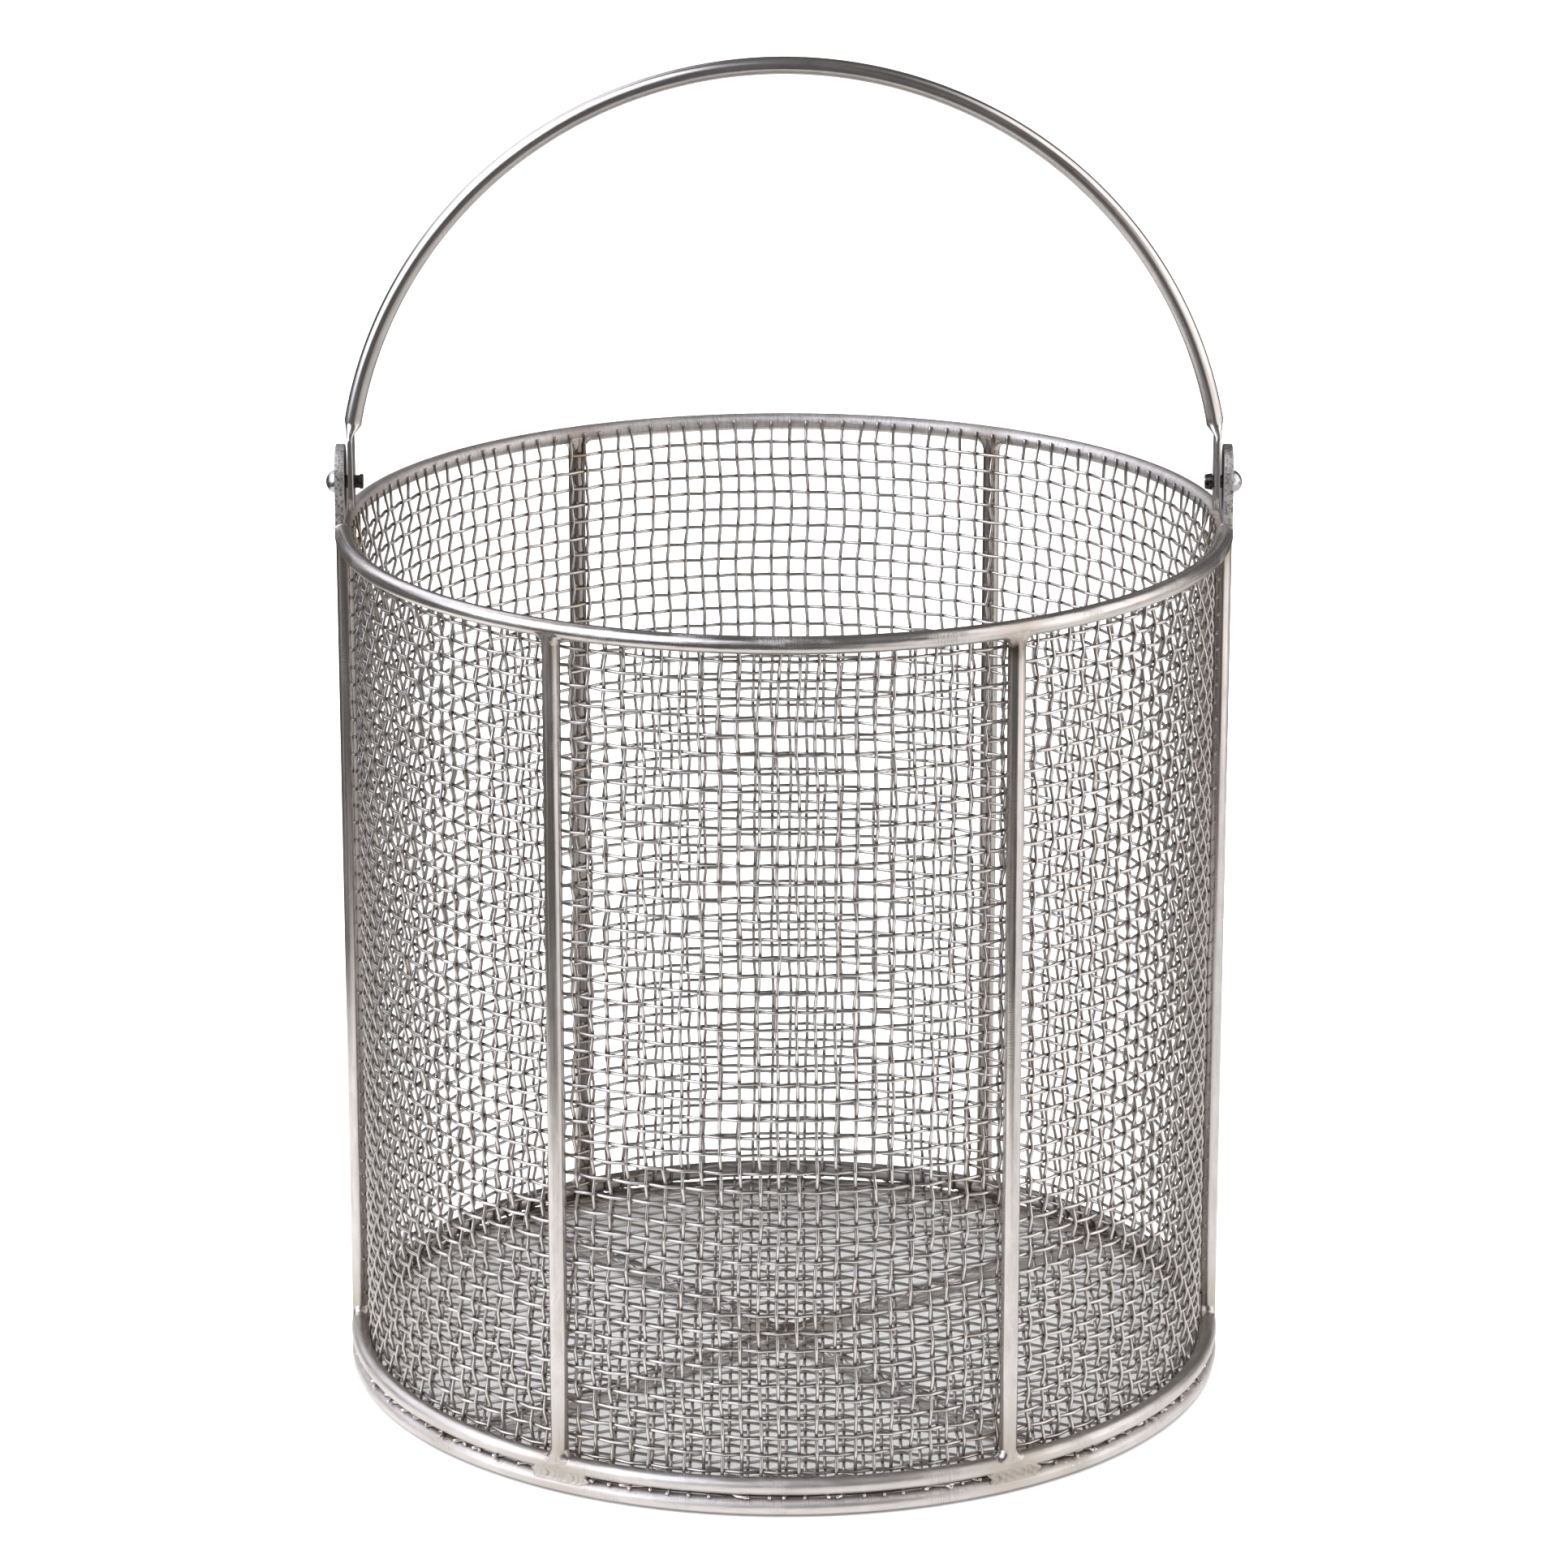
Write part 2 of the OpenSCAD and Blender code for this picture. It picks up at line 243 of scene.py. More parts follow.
def piece(name, body, material, verts, polys, rest, stands_for, sharp=None):
    """A mesh piece from millimetre points. polys is a list of (faces, corners) arrays; rest gives
    each corner's place on the straightened stock, for the material's grain."""
    me = bpy.data.meshes.new(name)
    verts = np.asarray(verts, np.float64).reshape(-1, 3)
    me.vertices.add(len(verts))
    me.vertices.foreach_set("co", (verts * MM).astype(np.float32).ravel())
    loops = np.concatenate([p.ravel() for p in polys]).astype(np.int32)
    sizes = np.concatenate([np.full(len(p), p.shape[1]) for p in polys]).astype(np.int32)
    me.loops.add(len(loops))
    me.loops.foreach_set("vertex_index", loops)
    me.polygons.add(len(sizes))
    me.polygons.foreach_set("loop_start", np.concatenate([[0], np.cumsum(sizes)[:-1]]).astype(np.int32))
    me.update(calc_edges=True)
    me.polygons.foreach_set("use_smooth", np.ones(len(sizes), bool))
    if rest is not None:
        at = me.attributes.new("rest", "FLOAT_VECTOR", "CORNER")
        at.data.foreach_set("vector", np.asarray(rest, np.float32).ravel())
    wear_and_shade = me.attributes.new("wear_and_shade", "FLOAT_VECTOR", "POINT")
    wear_and_shade.data.foreach_set("vector", wear_and_shade_of(name, verts).astype(np.float32).ravel())
    if sharp:
        me.set_sharp_from_angle(angle=math.radians(sharp))
    me.materials.append(material)
    o = add(name, me)
    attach(o, body)
    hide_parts(*stands_for)
    return o


def tubes(path, ref, radius, sides, closed=False):
    """Round wires swept along m paths of n points. Returns points, polygons and corner rest places."""
    path = np.asarray(path, float)
    if path.ndim == 2:
        path, ref = path[None], np.asarray(ref, float)[None]
    m, n, _ = path.shape
    ref = np.broadcast_to(np.asarray(ref, float), path.shape)
    if closed:
        tan = np.roll(path, -1, 1) - np.roll(path, 1, 1)
    else:
        tan = np.gradient(path, axis=1)
    tan = unit(tan)
    nor = unit(ref - (ref * tan).sum(-1, keepdims=True) * tan)
    bi = np.cross(tan, nor)
    radius = np.broadcast_to(np.asarray(radius, float), (m, n))
    phi = 2 * np.pi * np.arange(sides) / sides
    cos, sin = np.cos(phi), np.sin(phi)
    spoke = cos[:, None] * nor[:, :, None] + sin[:, None] * bi[:, :, None]
    pts = path[:, :, None] + radius[:, :, None, None] * spoke
    ends = n if closed else n - 1
    i, k, j = np.meshgrid(np.arange(m), np.arange(ends), np.arange(sides), indexing="ij")
    k2, j2 = (k + 1) % n, (j + 1) % sides

    def at(kk, jj):
        return (i * n + kk) * sides + jj

    quads = np.stack([at(k, j), at(k, j2), at(k2, j2), at(k2, j)], -1).reshape(-1, 4)
    step = np.linalg.norm(np.roll(path, -1, 1) - path, axis=-1)
    run = np.concatenate([np.zeros((m, 1)), np.cumsum(step, 1)], 1)
    run += np.arange(m)[:, None] * GRAIN_STEP
    corner = []
    for kk, jj in ((k, j), (k, j2), (k + 1, j2), (k + 1, j)):
        size = radius[i, kk % n]
        corner.append(np.stack([run[i, kk], size * cos[jj], size * sin[jj]], -1))
    rest = np.stack(corner, -2).reshape(-1, 3)
    polys = [quads]
    if not closed:
        first = (np.arange(m)[:, None] * n) * sides + np.arange(sides)[None, ::-1]
        last = (np.arange(m)[:, None] * n + n - 1) * sides + np.arange(sides)[None]
        for cap, kk in ((first, 0), (last, n - 1)):
            polys.append(cap)
            order = np.arange(sides)[::-1] if kk == 0 else np.arange(sides)
            size, along = radius[:, kk, None], np.broadcast_to(run[:, kk, None], (m, sides))
            cap_rest = np.stack([along, size * cos[order], size * sin[order]], -1)
            rest = np.concatenate([rest, cap_rest.reshape(-1, 3)])
    return pts.reshape(-1, 3), polys, rest


def cut_ends(path, radius, bevel=0.25):
    """Adds a small chamfer to both ends of each path: returns the longer path and its radii."""
    path = np.asarray(path, float)
    single = path.ndim == 2
    if single:
        path = path[None]
    a = unit(path[:, :1] - path[:, 1:2])
    b = unit(path[:, -1:] - path[:, -2:-1])
    out = np.concatenate([path[:, :1] + a * bevel * radius, path, path[:, -1:] + b * bevel * radius], 1)
    r = np.full(out.shape[:2], float(radius))
    r[:, 0] *= 1 - bevel
    r[:, -1] *= 1 - bevel
    return (out[0], r[0]) if single else (out, r)


def surface(f, lo, hi, step):
    """Smooth closed surface where f(x, y, z) is zero, by surface nets and three Newton steps."""
    axes = [np.arange(a, b + step, step) for a, b in zip(lo, hi)]
    grid = np.meshgrid(*axes, indexing="ij")
    v = f(*grid)
    shape = [len(a) - 1 for a in axes]
    pos = np.zeros(shape + [3])
    count = np.zeros(shape)

    def corner(o):
        return v[o[0] : o[0] + shape[0], o[1] : o[1] + shape[1], o[2] : o[2] + shape[2]]

    for d in range(3):
        for o in np.ndindex(2, 2):
            a = list(o)
            a.insert(d, 0)
            b = list(o)
            b.insert(d, 1)
            va, vb = corner(a), corner(b)
            hit = (va < 0) != (vb < 0)
            t = np.where(hit, va / np.where(hit, va - vb, 1), 0)
            p = np.zeros(shape + [3]) + np.array(a, float)
            p[..., d] += t
            pos += hit[..., None] * p
            count += hit
    active = count > 0
    index = np.full(shape, -1)
    index[active] = np.arange(active.sum())
    cell = np.stack(np.nonzero(active), -1)
    pts = (cell + pos[active] / count[active][:, None]) * step + np.array(lo, float)
    quads = []
    for d in range(3):
        e1, e2 = [x for x in range(3) if x != d]
        va = v[tuple(slice(0, -1) if x == d else slice(1, -1) for x in range(3))]
        vb = v[tuple(slice(1, None) if x == d else slice(1, -1) for x in range(3))]
        hit = (va < 0) != (vb < 0)
        at = np.stack(np.nonzero(hit), -1)
        at[:, e1] += 1
        at[:, e2] += 1
        ring = []
        for s1, s2 in ((-1, -1), (0, -1), (0, 0), (-1, 0)):
            c = at.copy()
            c[:, e1] += s1
            c[:, e2] += s2
            ring.append(index[c[:, 0], c[:, 1], c[:, 2]])
        q = np.stack(ring, -1)
        flip = (va[hit] < 0) == (d == 1)
        q[flip] = q[flip][:, ::-1]
        quads.append(q)
    quads = np.concatenate(quads)
    e = step * 0.05
    for _ in range(3):
        x, y, z = pts.T
        f0 = f(x, y, z)
        g = np.stack([f(x + e, y, z) - f0, f(x, y + e, z) - f0, f(x, y, z + e) - f0], -1) / e
        move = -f0[:, None] * g / np.maximum((g * g).sum(-1, keepdims=True), 1e-6)
        pts = pts + np.clip(move, -step * 0.5, step * 0.5)
    return pts, quads


def smin(a, b, k):
    """The smaller of two distances, blended over k where they are alike."""
    h = clamp(0.5 + 0.5 * (b - a) / k)
    return b + (a - b) * h - k * h * (1 - h)


def smax(a, b, k):
    """The larger of two distances, blended over k where they are alike."""
    return -smin(-a, -b, k)


def turn(pts, a):
    """Points turned by the angle a about the basket's axis."""
    c, s = math.cos(a), math.sin(a)
    return pts @ np.array([[c, s, 0], [-s, c, 0], [0, 0, 1]])


# ---------------------------------------------------------------- materials
class Shader:
    """A material or world with short calls for the nodes that feed it."""

    def __init__(self, name, store=bpy.data.materials):
        self.owner = store.new(name)
        self.owner.use_nodes = True
        self.tree = self.owner.node_tree
        self.bsdf = self.tree.nodes.get("Principled BSDF")

    def node(self, kind, **settings):
        n = self.tree.nodes.new("ShaderNode" + kind)
        for key, value in settings.items():
            setattr(n, key, value)
        return n

    def feed(self, socket, value):
        """Links a socket to the value's socket, or sets it to a plain value."""
        if isinstance(value, bpy.types.NodeSocket):
            self.tree.links.new(value, socket)
        else:
            socket.default_value = value

    def attribute(self, name):
        return self.node("Attribute", attribute_name=name).outputs["Vector"]

    def vector(self, operation, a, b=(0.0, 0.0, 0.0)):
        """Vector maths on a and b: outputs 0 for a vector, "Value" for a number."""
        n = self.node("VectorMath", operation=operation)
        self.feed(n.inputs[0], a)
        self.feed(n.inputs[1], b)
        return n.outputs

    def stretch(self, vector, scale):
        """The vector multiplied by scale, a tuple."""
        return self.vector("MULTIPLY", vector, scale)[0]

    def noise(self, vector, scale=1.0, detail=3.0, rough=0.5, distort=0.0):
        n = self.node("TexNoise")
        self.feed(n.inputs["Vector"], vector)
        values = {"Scale": scale, "Detail": detail, "Roughness": rough, "Distortion": distort}
        for key, value in values.items():
            n.inputs[key].default_value = value
        return n.outputs["Fac"]

    def ramp(self, value, low, high, to_low=0.0, to_high=1.0, kind="SMOOTHSTEP"):
        """The value mapped smoothly from low..high to to_low..to_high."""
        n = self.node("MapRange", interpolation_type=kind)
        self.feed(n.inputs["Value"], value)
        values = {"From Min": low, "From Max": high, "To Min": to_low, "To Max": to_high}
        for key, value in values.items():
            n.inputs[key].default_value = value
        return n.outputs["Result"]

    def math(self, operation, a, b=0.0):
        n = self.node("Math", operation=operation)
        self.feed(n.inputs[0], a)
        self.feed(n.inputs[1], b)
        return n.outputs[0]

    def times(self, a, b):
        return self.math("MULTIPLY", a, b)

    def mix(self, factor, a, b):
        """Colour a turning into colour b as factor goes to 1."""
        n = self.node("Mix", data_type="RGBA")
        self.feed(n.inputs[0], factor)
        for socket, value in ((n.inputs[6], a), (n.inputs[7], b)):
            self.feed(socket, (*value, 1) if isinstance(value, tuple) else value)
        return n.outputs[2]

    def bump(self, height, distance, normal=None):
        """Raised relief; distance is in metres for a height from 0 to 1."""
        n = self.node("Bump")
        self.feed(n.inputs["Height"], height)
        n.inputs["Distance"].default_value = distance
        if normal is not None:
            self.feed(n.inputs["Normal"], normal)
        return n.outputs[0]

    def finish(self, colour, rough, normal):
        self.bsdf.inputs["Metallic"].default_value = 1
        self.feed(self.bsdf.inputs["Base Color"], colour)
        self.feed(self.bsdf.inputs["Roughness"], rough)
        self.feed(self.bsdf.inputs["Normal"], normal)
        return self.owner


def xyz(shader, vector):
    """The three numbers of a vector, as sockets."""
    n = shader.node("SeparateXYZ")
    shader.feed(n.inputs[0], vector)
    return n.outputs


def rod_steel(name, cross):
    """Drawn stainless rod: lengthwise lines, heat tint and, where cross is 1, patches of cross scratches."""
    s = Shader(name)
    rest = s.attribute("rest")
    wear_and_shade = xyz(s, s.attribute("wear_and_shade"))
    drawn = s.noise(s.stretch(rest, (0.02, 1.1, 1.1)), detail=4, rough=0.6)
    rings = s.noise(s.stretch(rest, (3.4, 0.1, 0.1)), detail=5, rough=0.65)
    handled = s.ramp(wear_and_shade[2], -0.03, 0.02, 0.2 * cross, cross)
    patch = s.ramp(s.noise(s.stretch(rest, (0.035, 0.12, 0.12)), detail=3), 0.5, 0.68)
    patch = s.times(patch, handled)
    cloud = s.noise(s.stretch(rest, (0.1, 0.35, 0.35)), detail=5, rough=0.6, distort=0.6)
    specks = s.ramp(s.noise(s.stretch(rest, (1.3, 1.9, 1.9)), detail=2), 0.66, 0.74)
    steel = s.mix(s.ramp(cloud, 0.3, 0.7), (0.61, 0.578, 0.568), (0.71, 0.674, 0.662))
    steel = s.mix(s.times(specks, 0.35), steel, (0.34, 0.31, 0.28))
    heat = s.times(wear_and_shade[0], s.ramp(cloud, 0.3, 0.62, 0.35, 1.0))
    steel = s.mix(heat, steel, (0.4, 0.34, 0.28))
    # the y channel darkens the steel: painted shade on the uprights' inner sides and along the upper base
    # ring's top, and weld burns near the front-right upright
    steel = s.mix(s.times(wear_and_shade[1], s.ramp(cloud, 0.35, 0.6, 0.5, 1.0)), steel, (0.16, 0.13, 0.1))
    brushed = s.math("MAXIMUM", patch, s.ramp(wear_and_shade[2], 0.19, 0.24, 0.0, cross))
    strokes = s.noise(s.stretch(rest, (2.8, 0.16, 0.16)), detail=3, rough=0.7)
    stroked = s.times(brushed, s.ramp(strokes, 0.48, 0.64, 0.0, 0.5))
    steel = s.mix(stroked, steel, (0.36, 0.335, 0.32))
    scuffed = s.times(patch, s.ramp(rings, 0.4, 0.65, 0.0, 0.22))
    rough = s.math("ADD", s.ramp(drawn, 0.3, 0.7, 0.16, 0.3), scuffed)
    rough = s.math("ADD", rough, s.times(wear_and_shade[0], 0.1))
    rough = s.math("ADD", rough, wear_and_shade[2])
    relief = s.bump(drawn, 0.00005)
    relief = s.bump(s.times(brushed, rings), 0.00014, relief)
    relief = s.bump(s.times(cloud, handled), 0.00014, relief)
    return s.finish(steel, rough, relief)


def wire_steel():
    """Bright crimped wire with drawing lines, and painted shade where two wires press together, along the
    wires' flanks and undersides, and at their feet and tips.
    """
    s = Shader("wire_steel")
    rest = s.attribute("rest")
    wear_and_shade = xyz(s, s.attribute("wear_and_shade"))
    drawn = s.noise(s.stretch(rest, (0.12, 3.4, 3.4)), detail=3, rough=0.6)
    cloud = s.noise(s.stretch(rest, (0.22, 0.5, 0.5)), detail=3)
    steel = s.mix(s.ramp(cloud, 0.35, 0.65), (0.68, 0.645, 0.632), (0.82, 0.785, 0.77))
    steel = s.mix(s.times(s.ramp(drawn, 0.55, 0.75), 0.3), steel, (0.48, 0.44, 0.425))
    steel = s.mix(s.times(wear_and_shade[0], s.ramp(cloud, 0.4, 0.55, 0.1, 0.9)), steel, (0.53, 0.4, 0.26))
    # painted shade: the y channel darkens the wires in their crossings, flanks, undersides, feet and tips
    steel = s.mix(wear_and_shade[1], steel, (0.125, 0.105, 0.085))
    rough = s.math("ADD", s.ramp(drawn, 0.3, 0.7, 0.16, 0.27), s.times(wear_and_shade[1], 0.25))
    relief = s.bump(drawn, 0.00002)
    return s.finish(steel, rough, relief)


def weld_steel():
    """Ground and brushed weld metal: smeared, a little lumpy, brown in its hollows."""
    s = Shader("weld_steel")
    place = s.stretch(s.node("TexCoord").outputs["Object"], TO_MM)
    smear = s.noise(s.stretch(place, (0.5, 0.5, 0.9)), detail=5, rough=0.62, distort=1.2)
    fine = s.noise(place, scale=2.6, detail=4, rough=0.6)
    pits = s.ramp(s.noise(place, scale=1.1, detail=2), 0.7, 0.78)
    wear_and_shade = xyz(s, s.attribute("wear_and_shade"))
    steel = s.mix(s.ramp(smear, 0.38, 0.62), (0.5, 0.47, 0.455), (0.72, 0.684, 0.672))
    steel = s.mix(s.times(pits, 0.5), steel, (0.24, 0.2, 0.17))
    steel = s.mix(s.times(wear_and_shade[0], s.ramp(smear, 0.4, 0.6, 0.1, 0.8)), steel, (0.42, 0.36, 0.3))
    steel = s.mix(wear_and_shade[1], steel, (0.16, 0.12, 0.09))
    rough = s.math("ADD", s.ramp(fine, 0.3, 0.7, 0.2, 0.3), wear_and_shade[2])
    relief = s.bump(smear, 0.0001)
    relief = s.bump(fine, 0.00001, relief)
    return s.finish(steel, rough, relief)


def plate_steel():
    """Punched sheet: even grain, upright polish lines, dull dark edges and a few long scratches."""
    s = Shader("plate_steel")
    spot = s.node("TexCoord")
    place = s.stretch(spot.outputs["Object"], TO_MM)
    edge = s.ramp(s.math("ABSOLUTE", xyz(s, spot.outputs["Normal"])[0]), 0.3, 0.8, 1.0, 0.0)
    mottle = s.noise(s.stretch(place, (1.1, 1.4, 0.8)), detail=5, rough=0.8)
    grain = s.noise(s.stretch(place, (2.2, 3.0, 1.1)), detail=5, rough=0.7)
    cloud = s.noise(place, scale=0.22, detail=4, distort=0.8)
    scratch = s.ramp(s.noise(s.stretch(place, (0.4, 3.2, 0.12)), detail=2, rough=0.4), 0.66, 0.7)
    steel = s.mix(s.ramp(cloud, 0.35, 0.65), (0.52, 0.5, 0.49), (0.7, 0.68, 0.665))
    steel = s.mix(s.times(s.ramp(grain, 0.5, 0.66), 0.7), steel, (0.2, 0.185, 0.18))
    steel = s.mix(s.times(edge, s.ramp(mottle, 0.49, 0.58, 0.0, 0.8)), steel, (0.11, 0.1, 0.105))
    steel = s.mix(s.times(scratch, 0.5), steel, (0.75, 0.74, 0.73))
    rough = s.ramp(grain, 0.3, 0.7, 0.42, 0.6)
    relief = s.bump(grain, 0.0002)
    return s.finish(steel, rough, s.bump(scratch, 0.00003, relief))


def rivet_steel():
    """Headed rivet: satin dome with hammer marks, dark and brown down its shank and tail."""
    s = Shader("rivet_steel")
    place = s.stretch(s.node("TexCoord").outputs["Object"], TO_MM)
    shank = s.ramp(s.math("ABSOLUTE", xyz(s, place)[0]), EAR_HI[0] - 0.6, EAR_HI[0] + 0.6, 1.0, 0.0)
    marks = s.noise(place, scale=0.75, detail=3, distort=0.5)
    fine = s.noise(place, scale=4.0, detail=4, rough=0.65)
    steel = s.mix(s.ramp(marks, 0.35, 0.65), (0.44, 0.44, 0.455), (0.6, 0.6, 0.61))
    steel = s.mix(s.times(shank, s.ramp(marks, 0.3, 0.6, 0.8, 0.98)), steel, (0.05, 0.042, 0.036))
    rough = s.ramp(fine, 0.3, 0.7, 0.14, 0.24)
    return s.finish(steel, rough, s.bump(marks, 0.00008, s.bump(fine, 0.00002)))


ROD_MAT = rod_steel("rod_steel", 1.0)
BAIL_MAT = rod_steel("bail_steel", 0.0)
WIRE_MAT = wire_steel()
WELD_MAT = weld_steel()
PLATE_MAT = plate_steel()
RIVET_MAT = rivet_steel()


# ---------------------------------------------------------------- woven side mesh
def wave(n, count, low, high, seed):
    """Smooth periodic noise, count of n samples around a ring, from a few seeded harmonics."""
    r = np.random.RandomState(seed)
    t = 2 * np.pi * np.arange(n) / n
    out = np.zeros((count, n))
    for h in range(low, high + 1):
        size = r.normal(size=(count, 1))
        phase = r.uniform(0, 2 * np.pi, (count, 1))
        out += size * np.sin(h * t + phase) / math.sqrt(high - low + 1)
    return out


def crimp(t, bend=0.17):
    """Height of a crimped wire from +1 at t = 0 to -1 at t = 1, straight between rounded bends."""
    m = 2 / (1 - bend)
    crown, hollow = 1 - m * t * t / (2 * bend), -1 + m * (1 - t) ** 2 / (2 * bend)
    return np.where(t < bend, crown, np.where(t > 1 - bend, hollow, -m * (t - 0.5)))


STEPS = np.array([0, 0.085, 0.17, 0.5, 0.83, 0.915])  # where a wire has points, from crossing to crossing


def between(values, t, closed):
    """Catmull-Rom values at fraction t after each lattice point, along the last axis."""
    if closed:
        a, b, c, d = (np.roll(values, s, -1) for s in (1, 0, -1, -2))
    else:
        before, after = 2 * values[..., :1] - values[..., 1:2], 2 * values[..., -1:] - values[..., -2:-1]
        pad = np.concatenate([before, values, after], -1)
        a, b, c, d = pad[..., :-3], pad[..., 1:-2], pad[..., 2:-1], pad[..., 3:]
    return b + 0.5 * t * (c - a + t * (2 * a - 5 * b + 4 * c - d + t * (3 * (b - c) + d - a)))


step_a = 2 * np.pi / WARPS
warp_a = (np.arange(WARPS) + WARP_PHASE) * step_a
weft_z = WEFT_LOW + (WEFT_HIGH - WEFT_LOW) * np.arange(WEFTS) / (WEFTS - 1)
# Where each crossing really lies: wires wander a little, neighbours partly together
r1 = np.random.RandomState(5)
zt = np.arange(WEFTS)
side_shift = np.zeros((WARPS, WEFTS))
for h in range(1, 9):
    size, phase, sway = 0.16 * r1.normal(), r1.uniform(0, 6.3), r1.uniform(0, 6.3)
    drift = 2.2 * np.sin(warp_a[:, None] * (1 + h % 4) + sway)
    side_shift += size * np.sin(2 * np.pi * (zt[None] * h / 60.0) + phase + drift)
own = r1.normal(size=(WARPS, WEFTS))
own = (own + np.roll(own, 1, 1)) * 0.09
side_shift += own + r1.normal(size=(WARPS, 1)) * 0.18
rise = 0.10 * wave(WARPS, WEFTS, 2, 9, 3) + r1.normal(size=(WEFTS, WARPS)) * 0.05
rise[0] += 0.35 * wave(WARPS, 1, 3, 14, 9)[0]
cross_a = warp_a[:, None] + side_shift / MESH_R  # (warp, weft)
cross_z = weft_z[None, :] + rise.T
out_sign = np.where((np.arange(WARPS)[:, None] + np.arange(WEFTS)[None]) % 2 == 0, 1.0, -1.0)
bulge = 0.12 * np.sin(warp_a[:, None] * 3 + 1.0) * np.sin(np.pi * (zt[None] + 0.5) / WEFTS)

warp_pts = []
for t in STEPS:
    a = between(cross_a, t, False)
    z = between(cross_z, t, False)
    r = MESH_R + between(bulge, t, False) + out_sign[:, :-1] * WARP_AMP * crimp(t)
    warp_pts.append(polar(r, a, z))
warp_pts = np.stack(warp_pts, 2).reshape(WARPS, -1, 3)
# the last crossing, then the tail that bends out to the rim; and the foot inside the upper base ring
top_a, top_z, top_r = cross_a[:, -1], cross_z[:, -1], MESH_R + out_sign[:, -1] * WARP_AMP
lean = r1.normal(size=WARPS) * 0.45 / MESH_R
tip_z = RIM_Z + 1.2 + r1.normal(size=WARPS) * 0.25
tail = []
for f, blend in ((0.12, 0.04), (0.3, 0.3), (0.55, 0.75), (0.8, 0.97), (1.0, 1.0)):
    a = top_a + lean * f
    z = top_z + (tip_z - top_z) * f
    r = top_r + (BORE_R - 0.35 - top_r) * blend + (0.25 * (f - 0.8) if f > 0.8 else 0)
    tail.append(polar(r, a, z))
foot = []
low_a, low_z, low_r = cross_a[:, 0], cross_z[:, 0], MESH_R + out_sign[:, 0] * WARP_AMP
for f, blend in ((1.0, 1.0), (0.7, 0.95), (0.4, 0.6), (0.15, 0.12)):
    z = low_z + (FLOOR_Z + 1.4 - low_z) * f
    r = low_r + (BORE_R - 0.4 - low_r) * blend
    foot.append(polar(r, low_a, z))
last = polar(top_r, top_a, top_z)[:, None]
warp_path = np.concatenate([np.stack(foot, 1), warp_pts, last, np.stack(tail, 1)], 1)
radial = np.stack([np.cos(warp_a), np.sin(warp_a), np.zeros(WARPS)], -1)[:, None]

weft_pts = []
for t in STEPS:
    a = between(np.concatenate([cross_a, cross_a[:1] + 2 * np.pi], 0).T, t, False)
    z = between(cross_z.T, t, True)
    r = MESH_R + between(bulge.T, t, True) - out_sign.T * WEFT_AMP * crimp(t)
    weft_pts.append(polar(r, a, z))
weft_pts = np.stack(weft_pts, 2).reshape(WEFTS, -1, 3)

for g in range(6):
    pick = np.arange(WARPS)[g * 24 : g * 24 + 24]
    path, rad = cut_ends(warp_path[pick], WIRE)
    v, p, r = tubes(path, np.broadcast_to(radial[pick], path.shape), rad, WIRE_SIDES)
    piece(f"side_warp_{g + 1}", "basket", WIRE_MAT, v, p, r, ("side_warp_wires",))
for g in range(6):
    path = weft_pts[g * 8 : g * 8 + 8]
    v, p, r = tubes(path, np.broadcast_to(UP, path.shape), WIRE, WIRE_SIDES, closed=True)
    piece(f"side_weft_{g + 1}", "basket", WIRE_MAT, v, p, r, WEFT_NODES)

# the side mesh's lowest level wires, crushed together behind the gap between the base rings
# the side mesh's painted shade at its foot darkens these wires in the gap
HEM_N = 432
hem = []
for dz, seed in ((-1.1, 31), (0.05, 32)):
    a = 2 * np.pi * np.arange(HEM_N) / HEM_N
    lift = 0.18 * wave(HEM_N, 1, 6, 40, seed)[0]
    r = BORE_R - 0.45 + 0.1 * wave(HEM_N, 1, 20, 70, seed + 5)[0]
    hem.append(polar(r, a, GAP_Z + dz + lift))
v, p, r = tubes(np.array(hem), np.broadcast_to(UP, (2, HEM_N, 3)), WIRE + 0.08, WIRE_SIDES, closed=True)
piece("side_weft_hem", "basket", WIRE_MAT, v, p, r, ("side_weft_wires_low",))

# ---------------------------------------------------------------- woven floor disc
half_n = int((BORE_R - 2) // PITCH)
lines = np.arange(-half_n, half_n + 1)
r2 = np.random.RandomState(21)
CELLS = 60  # more than any floor wire has crossings
jig = r2.normal(size=(2, len(lines), CELLS)) * 0.09


def under_weld(x, y):
    """True where a weld fills the gap between the base rings."""
    turns = (math.atan2(y, x) - FILL_OFF / RING_R) / (math.pi / 3)
    return abs(turns - round(turns)) * math.pi / 3 * RING_R < FILL_HALF + 0.4


def floor_end(y, side, which, stray=False):
    """Points of a floor wire past its last crossing: down into the gap, then a hooked, cut tip.
    The stray wire's tip is hooked far aside."""
    tip = TIP_R - abs(r2.normal()) * 0.6
    hook, lift = r2.normal() * 1.3, r2.normal() * 0.22
    if stray:
        tip, hook = TIP_R, 7.0
    x = side * math.sqrt(tip * tip - y * y)
    if under_weld(*((y, x) if which else (x, y))):
        tip = BORE_R + 2.6
    drop = GAP_Z - FLOOR_Z
    pts = []
    for r, aside, z in (
        (BORE_R - 1.2, 0, drop * 0.8),
        (BORE_R + 1.5, 0.1, drop),
        (tip - 0.9, 0.45, drop),
        (tip, 1.0, drop + lift),
    ):
        pts.append((side * math.sqrt(r * r - y * y), y + hook * aside, z))
    return pts


